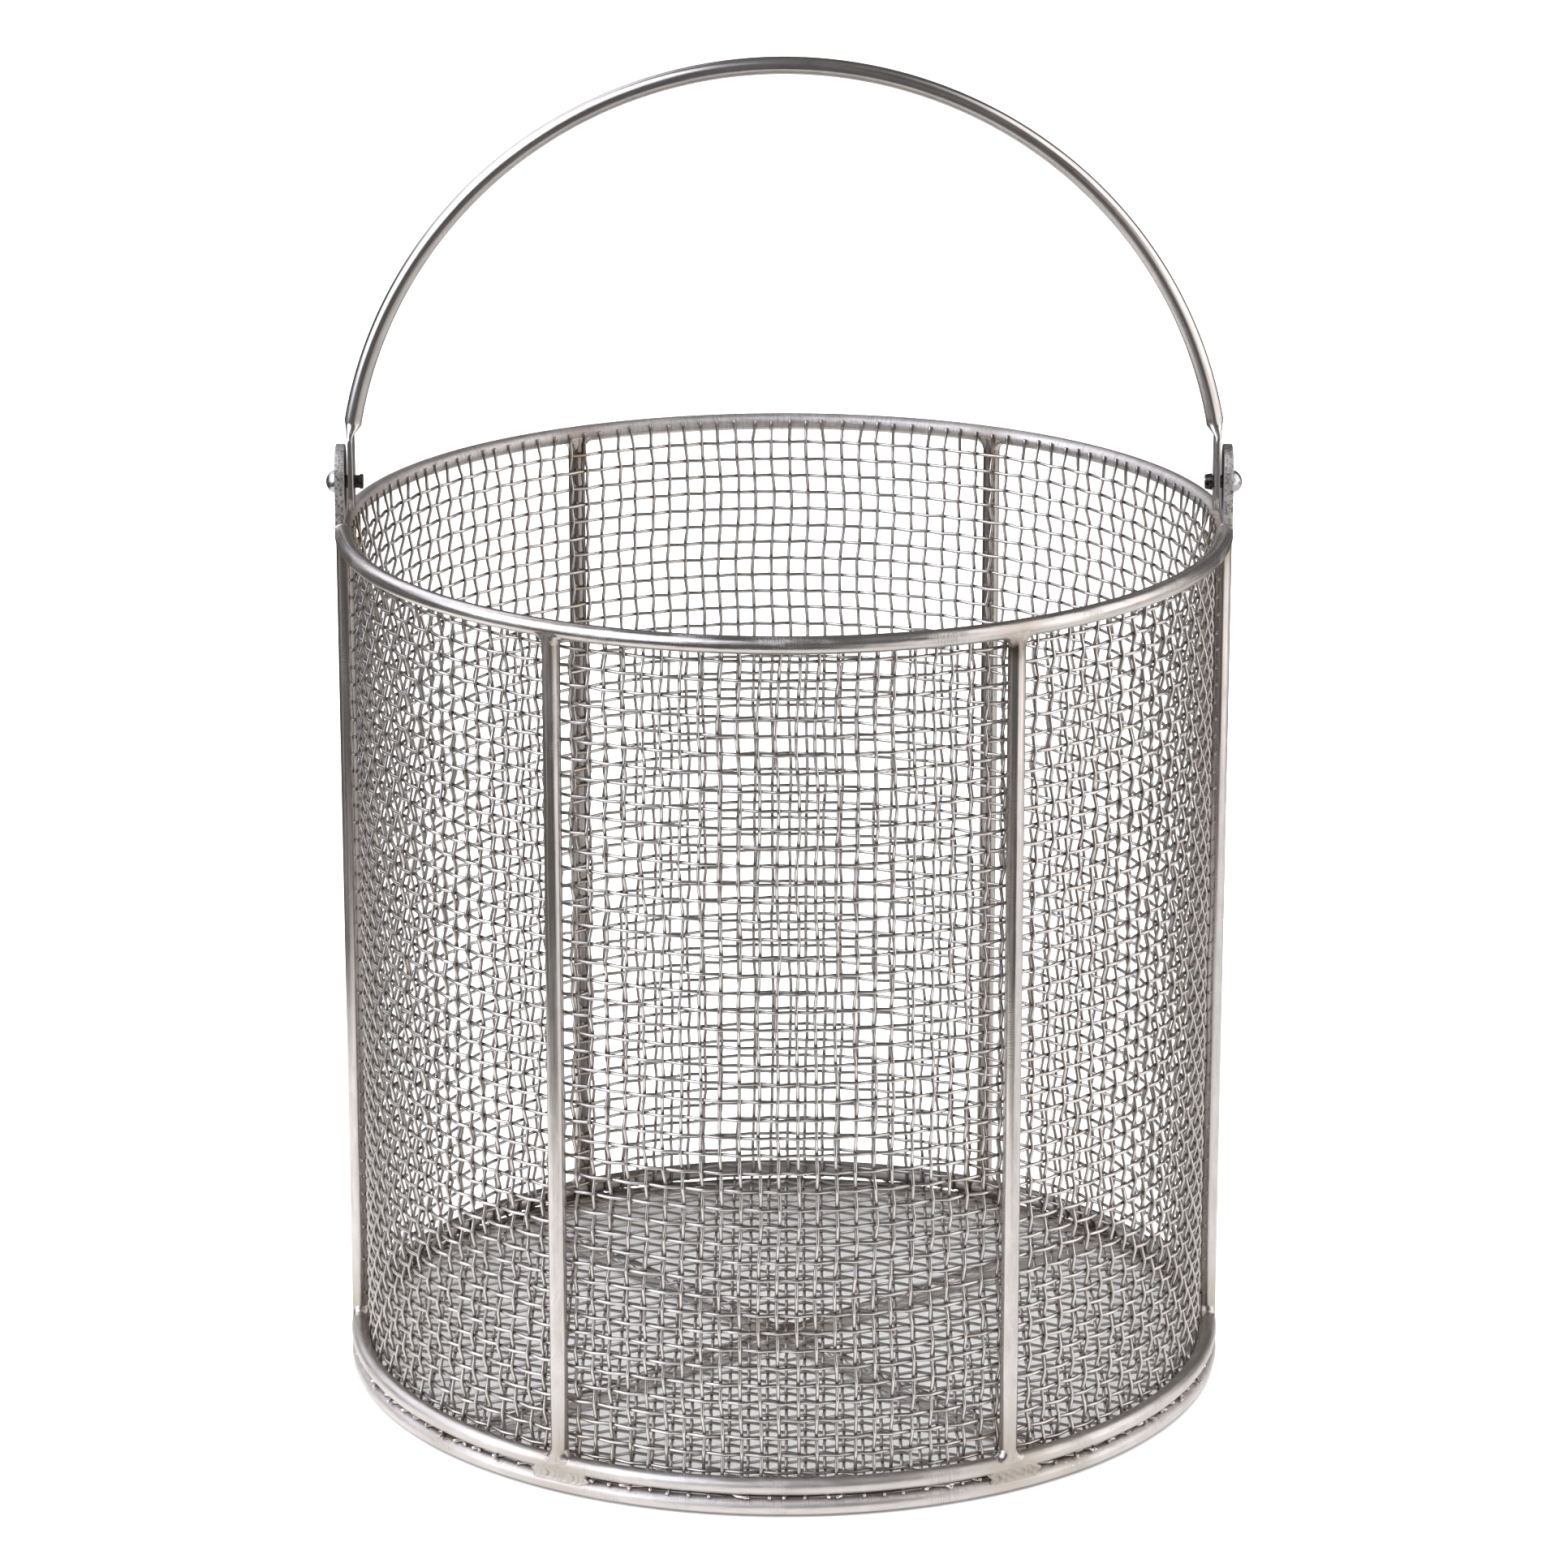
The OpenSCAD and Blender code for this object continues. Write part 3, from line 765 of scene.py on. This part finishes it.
def floor_wires(which):
    """Paths of the floor's wires: those along X for which = 0, those along Y for which = 1."""
    out = []
    for i, k in enumerate(lines):
        y = k * PITCH + SHIFT
        inner = math.sqrt((BORE_R - 2.5) ** 2 - y * y)
        n0, n1 = int(math.ceil((-inner - SHIFT) / PITCH)), int(math.floor((inner - SHIFT) / PITCH))
        pts = floor_end(y, -1, which, which == 1 and k == -3)[::-1]
        for c in range(n0, n1 + 1):
            sign = 1 if (c + k + which) % 2 == 0 else -1
            for t in STEPS if c < n1 else [0]:
                x = (c + t) * PITCH + SHIFT
                here, there = jig[which, i, c + CELLS // 2], jig[which, i, c + CELLS // 2 + 1]
                height = sign * FLOOR_AMP * float(crimp(np.array(t)))
                pts.append((x, y + here * (1 - t) + there * t, height))
        p = np.array(pts + floor_end(y, 1, which))
        p = p[np.concatenate([[True], np.diff(p[:, 0]) > 0.05])]
        if which:
            p = p[:, [1, 0, 2]]
        p[:, 2] += FLOOR_Z
        out.append(p)
    return out


for which, name in ((0, "floor_wires_across"), (1, "floor_wires_deep")):
    verts, polys, rest, base = [], [], [], 0
    for i, path in enumerate(floor_wires(which)):
        path, radius = cut_ends(path, WIRE)
        v, p, r = tubes(path, np.broadcast_to(UP, path.shape), radius, WIRE_SIDES)
        verts.append(v)
        polys += [q + base for q in p]
        rest.append(r + np.array([i * GRAIN_STEP, 0, 0]))
        base += len(v)
    verts, rest, title = np.concatenate(verts), np.concatenate(rest), name.replace("wires", "mesh")
    piece(title, "basket", WIRE_MAT, verts, polys, rest, (name,))


# ---------------------------------------------------------------- frame rods
def ring(name, z, node):
    """A ring of the frame, at height z."""
    n = 384
    a = 2 * np.pi * np.arange(n) / n
    v, p, r = tubes(polar(RING_R, a, np.full(n, z)), polar(1, a, 0 * a), ROD, ROD_SIDES, closed=True)
    return piece(name, "basket", ROD_MAT, v, p, r, (node,))


ring("rim", RIM_Z, "rim_ring")
ring("base_ring_top", HIGH_Z, "upper_base_ring")
ring("base_ring_bottom", LOW_Z, "lower_base_ring")


def rod(name, a, b, node, ref):
    """A straight rod of the frame, from a to b."""
    t = np.linspace(0, 1, 60)[:, None]
    path = np.array(a, float) * (1 - t) + np.array(b, float) * t
    v, p, r = tubes(path, np.broadcast_to(np.array(ref, float), path.shape), ROD, ROD_SIDES)
    return piece(name, "basket", ROD_MAT, v, p, r, (node,), sharp=40)


for i in range(6):
    a = i * math.pi / 3
    c, s = math.cos(a), math.sin(a)
    foot_at, top_at = (RING_R * c, RING_R * s, HIGH_Z + 1.2), (RING_R * c, RING_R * s, RIM_Z - 1.2)
    rod(f"upright_{i + 1}", foot_at, top_at, f"upright_rod_{i + 1}", (c, s, 0))
c, s = math.cos(CROSS), math.sin(CROSS)
bar_end_r = BORE_R + 1
for name, node, x, y, start in (
    ("cross_long", "cross_bar_long", c, s, -bar_end_r),
    ("cross_left", "cross_bar_half_left", -s, c, 1.2),
    ("cross_right", "cross_bar_half_right", s, -c, 1.2),
):
    rod(name, (start * x, start * y, LOW_Z), (bar_end_r * x, bar_end_r * y, LOW_Z), node, UP)


# ---------------------------------------------------------------- welds
def weld(name, verts, polys, node):
    """A piece of weld metal on the basket."""
    piece(name, "basket", WELD_MAT, verts, polys, None, (node,))


def merged(parts):
    """One mesh from several (points, quads) pairs."""
    vs, qs, base = [], [], 0
    for v, q in parts:
        vs.append(v)
        qs.append(q + base)
        base += len(v)
    return np.concatenate(vs), [np.concatenate(qs)]


def corner_weld(ring_z, way, size, reach):
    """The web between an upright and a ring, both sides, near +X."""

    def f(x, y, z):
        sunk1 = 0.6 * clamp((np.abs(y) - ROD - reach) / 1.5 + 1)
        sunk2 = 0.6 * clamp((way * (z - ring_z) - ROD - reach) / 1.5 + 1)
        d1 = np.hypot(np.hypot(x, y) - RING_R, z - ring_z) - (SKIN_R - sunk1)
        d2 = np.hypot(x - RING_R, y) - (SKIN_R - sunk2)
        past = np.minimum(way * (z - ring_z), 0)
        face = np.sqrt(np.maximum(2.92**2 - past**2, 0.2))
        d = smax(smin(d1, d2, size), np.abs(np.hypot(x, y) - RING_R) - face, 0.6)
        d = smax(d, np.abs(y) - (ROD + reach), 0.4)
        lump = 0.05 * np.sin(1.9 * y + 0.7 * z) * np.sin(1.3 * z + x) * clamp(past / 0.8 + 1)
        return smax(d + lump, np.abs(z - (ring_z + way * (1 + reach / 2))) - (2 + reach / 2), 0.4)

    z0, z1 = sorted((ring_z - way * 2.5, ring_z + way * (reach + 4.5)))
    return surface(f, (RING_R - 3.4, -reach - 4, z0), (RING_R + 3.6, reach + 4, z1), 0.3)


for name, z, way, size, reach, node in (
    ("rim_webs", RIM_Z, -1, 3.6, 4.0, "upright_top_welds"),
    ("foot_webs", HIGH_Z, 1, 3.4, 3.6, "upright_foot_welds"),
):
    v, q = corner_weld(z, way, size, reach)
    verts, polys = merged([(turn(v, i * math.pi / 3), q) for i in range(6)])
    weld(name, verts, polys, node)


def ring_fill(seed):
    """Weld that fills the groove between the base rings, near +X: a flush bead of overlapping crescents."""

    def f(x, y, z):
        r = np.hypot(x, y)
        s = np.arctan2(y, x) * RING_R - FILL_OFF
        dz = z - GAP_Z
        sunk = 0.6 * clamp(np.maximum(np.abs(s) - FILL_HALF + 0.2, (np.abs(dz) - 2.9) / 0.6))
        nearer = np.minimum(np.hypot(r - RING_R, z - LOW_Z), np.hypot(r - RING_R, z - HIGH_Z))
        rings = nearer - (ROD - 0.04 - sunk)
        swell = 0.12 * (0.6 + 0.4 * np.sin(0.45 * s + 2 * seed))
        ripple = swell * crescents(s, dz, seed) * bell(dz, 2.1)
        face = RING_R + ROD - 0.5 + ripple + 0.08 * np.sin(0.6 * s + seed)
        slab = smax(r - face, (RING_R + 0.8) - r, 0.4)
        ragged = FILL_HALF - 0.5 + 0.7 * np.sin(2.1 * dz + 3 * seed + np.sign(s))
        ragged += 0.9 * np.sin(5 * seed + np.sign(s))
        end = np.hypot(np.maximum(np.abs(s) - (ragged - 2.4), 0), dz * 1.2) - 2.4
        slab = smax(smax(slab, np.abs(dz) - 2.3, 0.5), end, 0.5)
        d = smax(smin(rings, slab, 0.8), np.abs(dz) - 3.5, 0.1)
        d = smax(d, np.abs(s) - (FILL_HALF + 0.9), 0.1)
        return smax(d, (RING_R + 0.6) - r, 0.3)

    lo = (RING_R - 1.5, FILL_OFF - FILL_HALF - 1, GAP_Z - 4.0)
    hi = (RING_R + 4, FILL_OFF + FILL_HALF + 1, GAP_Z + 4.0)
    return surface(f, lo, hi, 0.25)


fills = [ring_fill(i * FILL_STEP) for i in range(6)]
verts, polys = merged([(turn(v, i * math.pi / 3), q) for i, (v, q) in enumerate(fills)])
weld("base_ring_fills", verts, polys, "base_ring_welds")


def bar_distance(x, y, z, a, r0):
    """Distance to the surface of a cross bar that runs from r0 outwards in direction a."""
    along = x * math.cos(a) + y * math.sin(a)
    across = -x * math.sin(a) + y * math.cos(a)
    return np.maximum(np.hypot(across, z - LOW_Z) - SKIN_R, r0 - along)


def hub(x, y, z):
    """The weld where the cross bars meet."""
    long_bar = bar_distance(x, y, z, CROSS, -50)
    halves = [bar_distance(x, y, z, CROSS + side * math.pi / 2, 0) for side in (1, -1)]
    lump = 0.10 * np.sin(2.3 * x + 1.1 * z) * np.sin(2.0 * y)
    d = smin(long_bar, np.minimum(*halves), 3.2) + lump
    return smax(smax(d, np.hypot(x, y) - 6.2, 1.0), np.abs(z - LOW_Z) - 2.75, 0.4)


v, q = surface(hub, (-7.5, -7.5, LOW_Z - 3.4), (7.5, 7.5, LOW_Z + 3.4), 0.27)
weld("cross_hub_weld", v, [q], "cross_weld")


def bar_end(x, y, z):
    """The weld between a cross bar along +X and the lower base ring."""
    d1 = np.hypot(np.hypot(x, y) - RING_R, z - LOW_Z) - SKIN_R
    d2 = smax(np.hypot(y, z - LOW_Z) - SKIN_R, x - (RING_R - 1.5), 0.5)
    lump = 0.08 * np.sin(2.1 * y + z) * np.sin(1.7 * x)
    d = smin(d1, d2, 3.6) + lump
    d = smax(d, np.abs(z - LOW_Z) - 2.75, 0.4)
    return smax(smax(d, (BORE_R - 5.0) - x, 0.5), np.abs(y) - 6.2, 0.5)


v, q = surface(bar_end, (BORE_R - 6, -7, LOW_Z - 3.4), (RING_R + 3.6, 7, LOW_Z + 3.4), 0.27)
verts, polys = merged([(turn(v, CROSS + i * math.pi / 2), q) for i in range(4)])
weld("bar_end_fillets", verts, polys, "bar_end_welds")


# ---------------------------------------------------------------- ears, rivets and bail
def cut(obj, cutter_verts, cutter_polys):
    """Cuts a closed mesh out of a piece and keeps the result as its mesh."""
    me = bpy.data.meshes.new("cutter")
    faces = [tuple(int(i) for i in f) for p in cutter_polys for f in p]
    me.from_pydata([tuple(v) for v in np.asarray(cutter_verts) * MM], [], faces)
    tool = add("cutter", me)
    mod = obj.modifiers.new("cut", "BOOLEAN")
    mod.operation, mod.object, mod.solver = "DIFFERENCE", tool, "EXACT"
    dg = bpy.context.evaluated_depsgraph_get()
    out = bpy.data.meshes.new_from_object(obj.evaluated_get(dg), depsgraph=dg)
    obj.modifiers.clear()
    old = obj.data
    obj.data = out
    out.name = old.name
    bpy.data.objects.remove(tool)
    bpy.data.meshes.remove(me)
    out.set_sharp_from_angle(angle=math.radians(35))


def bar_x(x0, x1, z, r):
    """A round bar along X, to cut a hole with."""
    path = np.array([[x0, 0, z], [x1, 0, z]], float)
    return tubes(path, np.array([UP, UP]), r, HOLE_SIDES)[:2]


def loft(rings):
    """Closed skin through rings of equal size, capped at both ends."""
    n = len(rings[0])
    v = np.concatenate(rings)
    k, j = np.meshgrid(np.arange(len(rings) - 1), np.arange(n), indexing="ij")
    j2 = (j + 1) % n
    quads = np.stack([k * n + j, k * n + j2, (k + 1) * n + j2, (k + 1) * n + j], -1).reshape(-1, 4)
    caps = np.stack([np.arange(n)[::-1], (len(rings) - 1) * n + np.arange(n)])
    return v, [quads, caps]


def rest_of(v, polys):
    """Each corner's rest place, from its point's."""
    return np.concatenate([np.asarray(v)[p.ravel()] for p in polys])


def ear_ring(x, inset, side):
    """Outline of an ear at x, drawn in by inset: a round top, straight sides and a flat foot."""
    w, top = (EAR_HI[1] - EAR_LO[1]) / 2 - inset, EAR_HI[2] - (EAR_HI[1] - EAR_LO[1]) / 2
    low = RIM_Z + 2.2 + inset
    a = np.linspace(0, math.pi, 41)
    y = np.concatenate([w * np.cos(a), [-w] * 8, np.linspace(-w, w, 9)[1:-1], [w] * 8])
    down, up = np.linspace(top, low, 9)[1:], np.linspace(low, top, 9)[:-1]
    z = np.concatenate([top + w * np.sin(a), down, [low] * 7, up])
    return np.stack([np.full(len(y), side * x), y, z], -1)


for side, name in ((1, "right"), (-1, "left")):
    x0, x1 = EAR_LO[0], EAR_HI[0]
    steps = [(x0, 0.3), (x0 + 0.09, 0.09), (x0 + 0.3, 0.0), (x1 - 0.3, 0.0), (x1 - 0.09, 0.09), (x1, 0.3)]
    v, p = loft([ear_ring(x, i, side) for x, i in steps][::side])
    grain, node = rest_of(v, p), (f"ear_{name}",)
    o = piece(f"ear_plate_{name}", "basket", PLATE_MAT, v, p, grain, node, sharp=35)
    cut(o, *bar_x(side * (x0 - 2), side * (x1 + 2), PIVOT_Z, 2.3))


def ear_weld(x, y, z):
    """The weld round the foot of the ear at +X."""
    d1 = np.hypot(np.hypot(x, y) - RING_R, z - RIM_Z) - SKIN_R
    inner = smax(EAR_LO[0] + 0.05 - x, np.abs(y) - 9.2, 0.3)
    d2 = smax(smax(inner, x - EAR_HI[0] + 0.08, 0.2), RIM_Z - z, 0.3)
    lump = 0.10 * np.sin(2.6 * y + 0.5) * np.sin(1.4 * x + z)
    d = smin(d1, d2, 1.5) + lump
    d = smax(d, z - (RIM_Z + 4.4), 0.6)
    return smax(smax(d, np.abs(y) - 9.9, 0.6), (RIM_Z + 1.2) - z, 0.3)


v, q = surface(ear_weld, (RING_R - 4.5, -11.6, RIM_Z + 0.6), (RING_R + 4.2, 11.6, RIM_Z + 6.2), 0.27)
verts, polys = merged([(v, q), (v * np.array([-1, 1, 1]), q[:, ::-1])])
weld("ear_fillets", verts, polys, "ear_welds")

PADDLE_OUT, PADDLE_IN = 149.3, 147.1  # outer and inner face of the bail's flat
TAIL_X = PADDLE_IN - 2.9  # where a rivet's tail ends
HEAD_R = 4.15  # radius of a rivet's dome


def rivet(split):
    """Domed rivet along +X through the ear and the bail's flat, tail towards the basket's middle."""

    def f(x, y, z):
        dz = z - PIVOT_Z
        rho = np.hypot(y, dz)
        x0, x1 = TAIL_X, EAR_HI[0]
        shank = smax(rho - 2.25, x - x1 - 0.5, 0.1)
        shank = np.maximum(shank, x0 - x)
        dome = np.sqrt((x - (x1 + 3.5 - HEAD_R)) ** 2 + rho**2) - HEAD_R
        dome = smax(dome, x1 - x + 0.02, 0.35)
        d = np.minimum(shank, dome)
        if split:
            skirt_r = 2.45 + 0.5 * clamp((x - x0) / 2.5) + 0.1 * np.sin(3 * np.arctan2(dz, y))
            skirt = smax(smax(rho - skirt_r, x0 - x, 0.15), x - (x0 + 2.5), 0.15)
            d = np.minimum(d, skirt)
            bore = np.maximum(rho - 1.3, x - (x0 + 2.4))
            slit = np.maximum(np.abs(dz - 0.15 * y) - 0.36, x - (x0 + 1.5))
            d = smax(smax(d, -bore, 0.1), -slit, 0.12)
        else:
            lip = smax(smax(rho - 2.6, x0 - x, 0.2), x - (x0 + 1.2), 0.3)
            d = smin(d, lip, 0.1)
        return d

    return surface(f, (TAIL_X - 0.5, -4.7, PIVOT_Z - 4.7), (EAR_HI[0] + 4.1, 4.7, PIVOT_Z + 4.7), 0.16)


for split, side, name in ((True, 1, "right"), (False, -1, "left")):
    v, q = rivet(split)
    v, q = v * np.array([side, 1, 1]), q[:, ::side]
    piece(f"rivet_domed_{name}", "basket", RIVET_MAT, v, [q], None, (f"rivet_{name}",))


def section(cx, cz, nx, nz, a, b, p):
    """A rounded-rectangle section of the bail: half thickness a, half width b, squareness p."""
    phi = 2 * np.pi * np.arange(BAIL_SIDES) / BAIL_SIDES
    u = a * np.sign(np.cos(phi)) * np.abs(np.cos(phi)) ** (2 / p)
    w = b * np.sign(np.sin(phi)) * np.abs(np.sin(phi)) ** (2 / p)
    return np.stack([cx + u * nx, w, cz + u * nz], -1), np.stack([u, w], -1)


swage_z, swage_l = RIM_Z + ROD + 34, 5.6
theta0 = math.asin((swage_z - BAIL_Z) / BAIL_R)
pad_a, pad_b, pad_x = (PADDLE_OUT - PADDLE_IN) / 2, 5.9, (PADDLE_OUT + PADDLE_IN) / 2
tip_c = PIVOT_Z - 10.2 + pad_b
half = []
for tau in np.radians([88, 80, 70, 60, 50, 40, 30, 20, 10]):
    thin = 0.12 if tau > 1.4 else 0
    half.append((pad_x, tip_c - pad_b * math.sin(tau), 1, 0, pad_a - thin, pad_b * math.cos(tau), 9))
for t in np.linspace(0, 1, 16):
    half.append((pad_x, tip_c + (swage_z - swage_l - tip_c) * t, 1, 0, pad_a, pad_b, 9 - 4.5 * t))
for t in np.linspace(0, 1, 15)[1:]:
    e = t * t * (3 - 2 * t)
    z = swage_z - swage_l * (1 - t)
    out_x = PADDLE_OUT + (BAIL_R * math.cos(theta0) + ROD * math.cos(theta0) - PADDLE_OUT) * t
    a = pad_a + (ROD - pad_a) * e
    b, square = pad_b + (ROD - pad_b) * (1 - (1 - t) ** 1.6), 2 + 2.5 * (1 - e) ** 1.5
    nx, nz = math.cos(theta0 * t), math.sin(theta0 * t)
    half.append((out_x - a * nx, z, nx, nz, a, b, square))
arc = [
    (BAIL_R * math.cos(t), BAIL_Z + BAIL_R * math.sin(t), math.cos(t), math.sin(t), ROD, ROD, 2)
    for t in np.linspace(theta0, math.pi - theta0, 241)[1:-1]
]
left = [(-x, z, -nx, nz, a, b, p) for x, z, nx, nz, a, b, p in half[::-1]]
stations = half + arc + left
rings, flats = zip(*[section(*st) for st in stations])
v, p = loft(rings)
mid = np.array([(st[0], 0, st[1]) for st in stations])
run = np.concatenate([[0], np.cumsum(np.linalg.norm(np.diff(mid, axis=0), axis=1))])
along = [np.full((BAIL_SIDES, 1), at) for at in run]
flat = np.concatenate([np.concatenate(pair, 1) for pair in zip(along, flats)])
o = piece("bail", "bail", BAIL_MAT, v, p, rest_of(flat, p), ("bail_handle",), sharp=35)
for side in (1, -1):
    cut(o, *bar_x(side * (PADDLE_IN - 2), side * (PADDLE_OUT + 2), PIVOT_Z, 2.34))

# ---------------------------------------------------------------- stage
scene.view_settings.view_transform = "Standard"
bpy.ops.mesh.primitive_plane_add(size=30, location=(0, 0, 0))
floor = bpy.context.object
floor.name = "floor"
paint = Shader("floor_white")
ground = paint.vector("LENGTH", paint.node("TexCoord").outputs["Object"])["Value"]
# painted shadow: the floor is grey under the basket, inside the base ring
shade = paint.ramp(ground, BORE_R * MM - 0.012, BORE_R * MM + 0.002, 1.0, 0.0)
paint.feed(paint.bsdf.inputs["Base Color"], paint.mix(shade, (0.9, 0.9, 0.9), (0.64, 0.634, 0.626)))
paint.bsdf.inputs["Roughness"].default_value = 1.0
paint.bsdf.inputs["Specular IOR Level"].default_value = 0.0
floor.data.materials.append(paint.owner)
floor.visible_glossy = False

# the lit table top that the steel reflects: bright round the basket, fading out with distance
bpy.ops.mesh.primitive_circle_add(vertices=96, radius=0.85, fill_type="NGON", location=(0, 0, -0.001))
table = bpy.context.object
table.name = "table_glow"
glow = Shader("table_glow")
glow.tree.nodes.remove(glow.bsdf)
spot = glow.node("TexCoord").outputs["Object"]
reach = glow.vector("LENGTH", spot)["Value"]
toward = glow.vector("DOT_PRODUCT", glow.vector("NORMALIZE", spot)[0], (0.98, -0.2, 0))["Value"]
sheet = glow.ramp(toward, 0.52, 0.66)
near_lit = glow.ramp(reach, 0.42, 0.6, 1.0, 0.0)
fade = glow.math("MAXIMUM", near_lit, glow.times(sheet, 0.92))
side = glow.ramp(xyz(glow, spot)[0], -0.5, 0.4, 1.35, 1.05)
# painted shadow of the basket on the glowing table: dimmer under the basket
inside = glow.ramp(reach, (RING_R - 8) * MM, (RING_R + 2) * MM, 0.34, 1.0)
# and a thin painted contact shadow right under the base ring
from_ring = glow.math("ABSOLUTE", glow.math("SUBTRACT", reach, RING_R * MM))
under = glow.ramp(from_ring, 0.0002, 0.0032, 0.15, 1.0)
light = glow.node("Emission")
glow.feed(light.inputs["Color"], glow.mix(fade, (0.11, 0.105, 0.1), (1.0, 0.985, 0.96)))
glow.feed(light.inputs["Strength"], glow.times(side, glow.times(inside, under)))
glow.tree.links.new(light.outputs[0], glow.tree.nodes["Material Output"].inputs["Surface"])
table.data.materials.append(glow.owner)
table.visible_camera = table.visible_diffuse = table.visible_shadow = False


def direction(azimuth, elevation):
    """Unit vector; azimuth 0 is towards the camera (-Y), 90 is +X."""
    a, e = math.radians(azimuth), math.radians(elevation)
    return (math.sin(a) * math.cos(e), -math.cos(a) * math.cos(e), math.sin(e))


# soft round patches of light on a grey sky: full inside the inner angle, none past the outer one
studio = Shader("studio", bpy.data.worlds)
scene.world = studio.owner
look = studio.node("TexCoord").outputs["Generated"]
sky = (0.125, 0.121, 0.119)
for azimuth, elevation, inner, outer, colour in (
    (-64, 34, 28, 42, (2.3, 2.38, 2.6)),
    (-138, 36, 10, 28, (1.35, 1.37, 1.45)),
    (84, 30, 20, 40, (1.45, 1.42, 1.4)),
    (52, -14, 20, 36, (1.15, 1.11, 1.07)),
    (100, -14, 16, 36, (0.65, 0.61, 0.57)),
    (-75, -12, 3, 8, (0.5, 0.5, 0.5)),
):
    dot = studio.vector("DOT_PRODUCT", look, direction(azimuth, elevation))["Value"]
    edges = math.cos(math.radians(outer)), math.cos(math.radians(inner))
    patch = studio.ramp(dot, *edges, kind="SMOOTHERSTEP")
    sky = studio.vector("ADD", studio.stretch(patch, colour), sky)[0]
studio.feed(studio.tree.nodes["Background"].inputs["Color"], sky)

# and a wide lamp overhead, facing straight down
lamp = bpy.data.lights.new("soft_top", "AREA")
lamp.shape, lamp.energy = "RECTANGLE", 320
lamp.size = lamp.size_y = 5
top = add("soft_top", lamp)
top.location = (0, 0.6, 3.2)
top.visible_glossy = False

cam = add("camera", bpy.data.cameras.new("camera"))
cam.location = (0, -2.0736, 0.8464)
cam.rotation_euler = (math.radians(72.923), 0, 0)
cam.data.lens = 143.16
cam.data.sensor_width = 36
scene.camera = cam
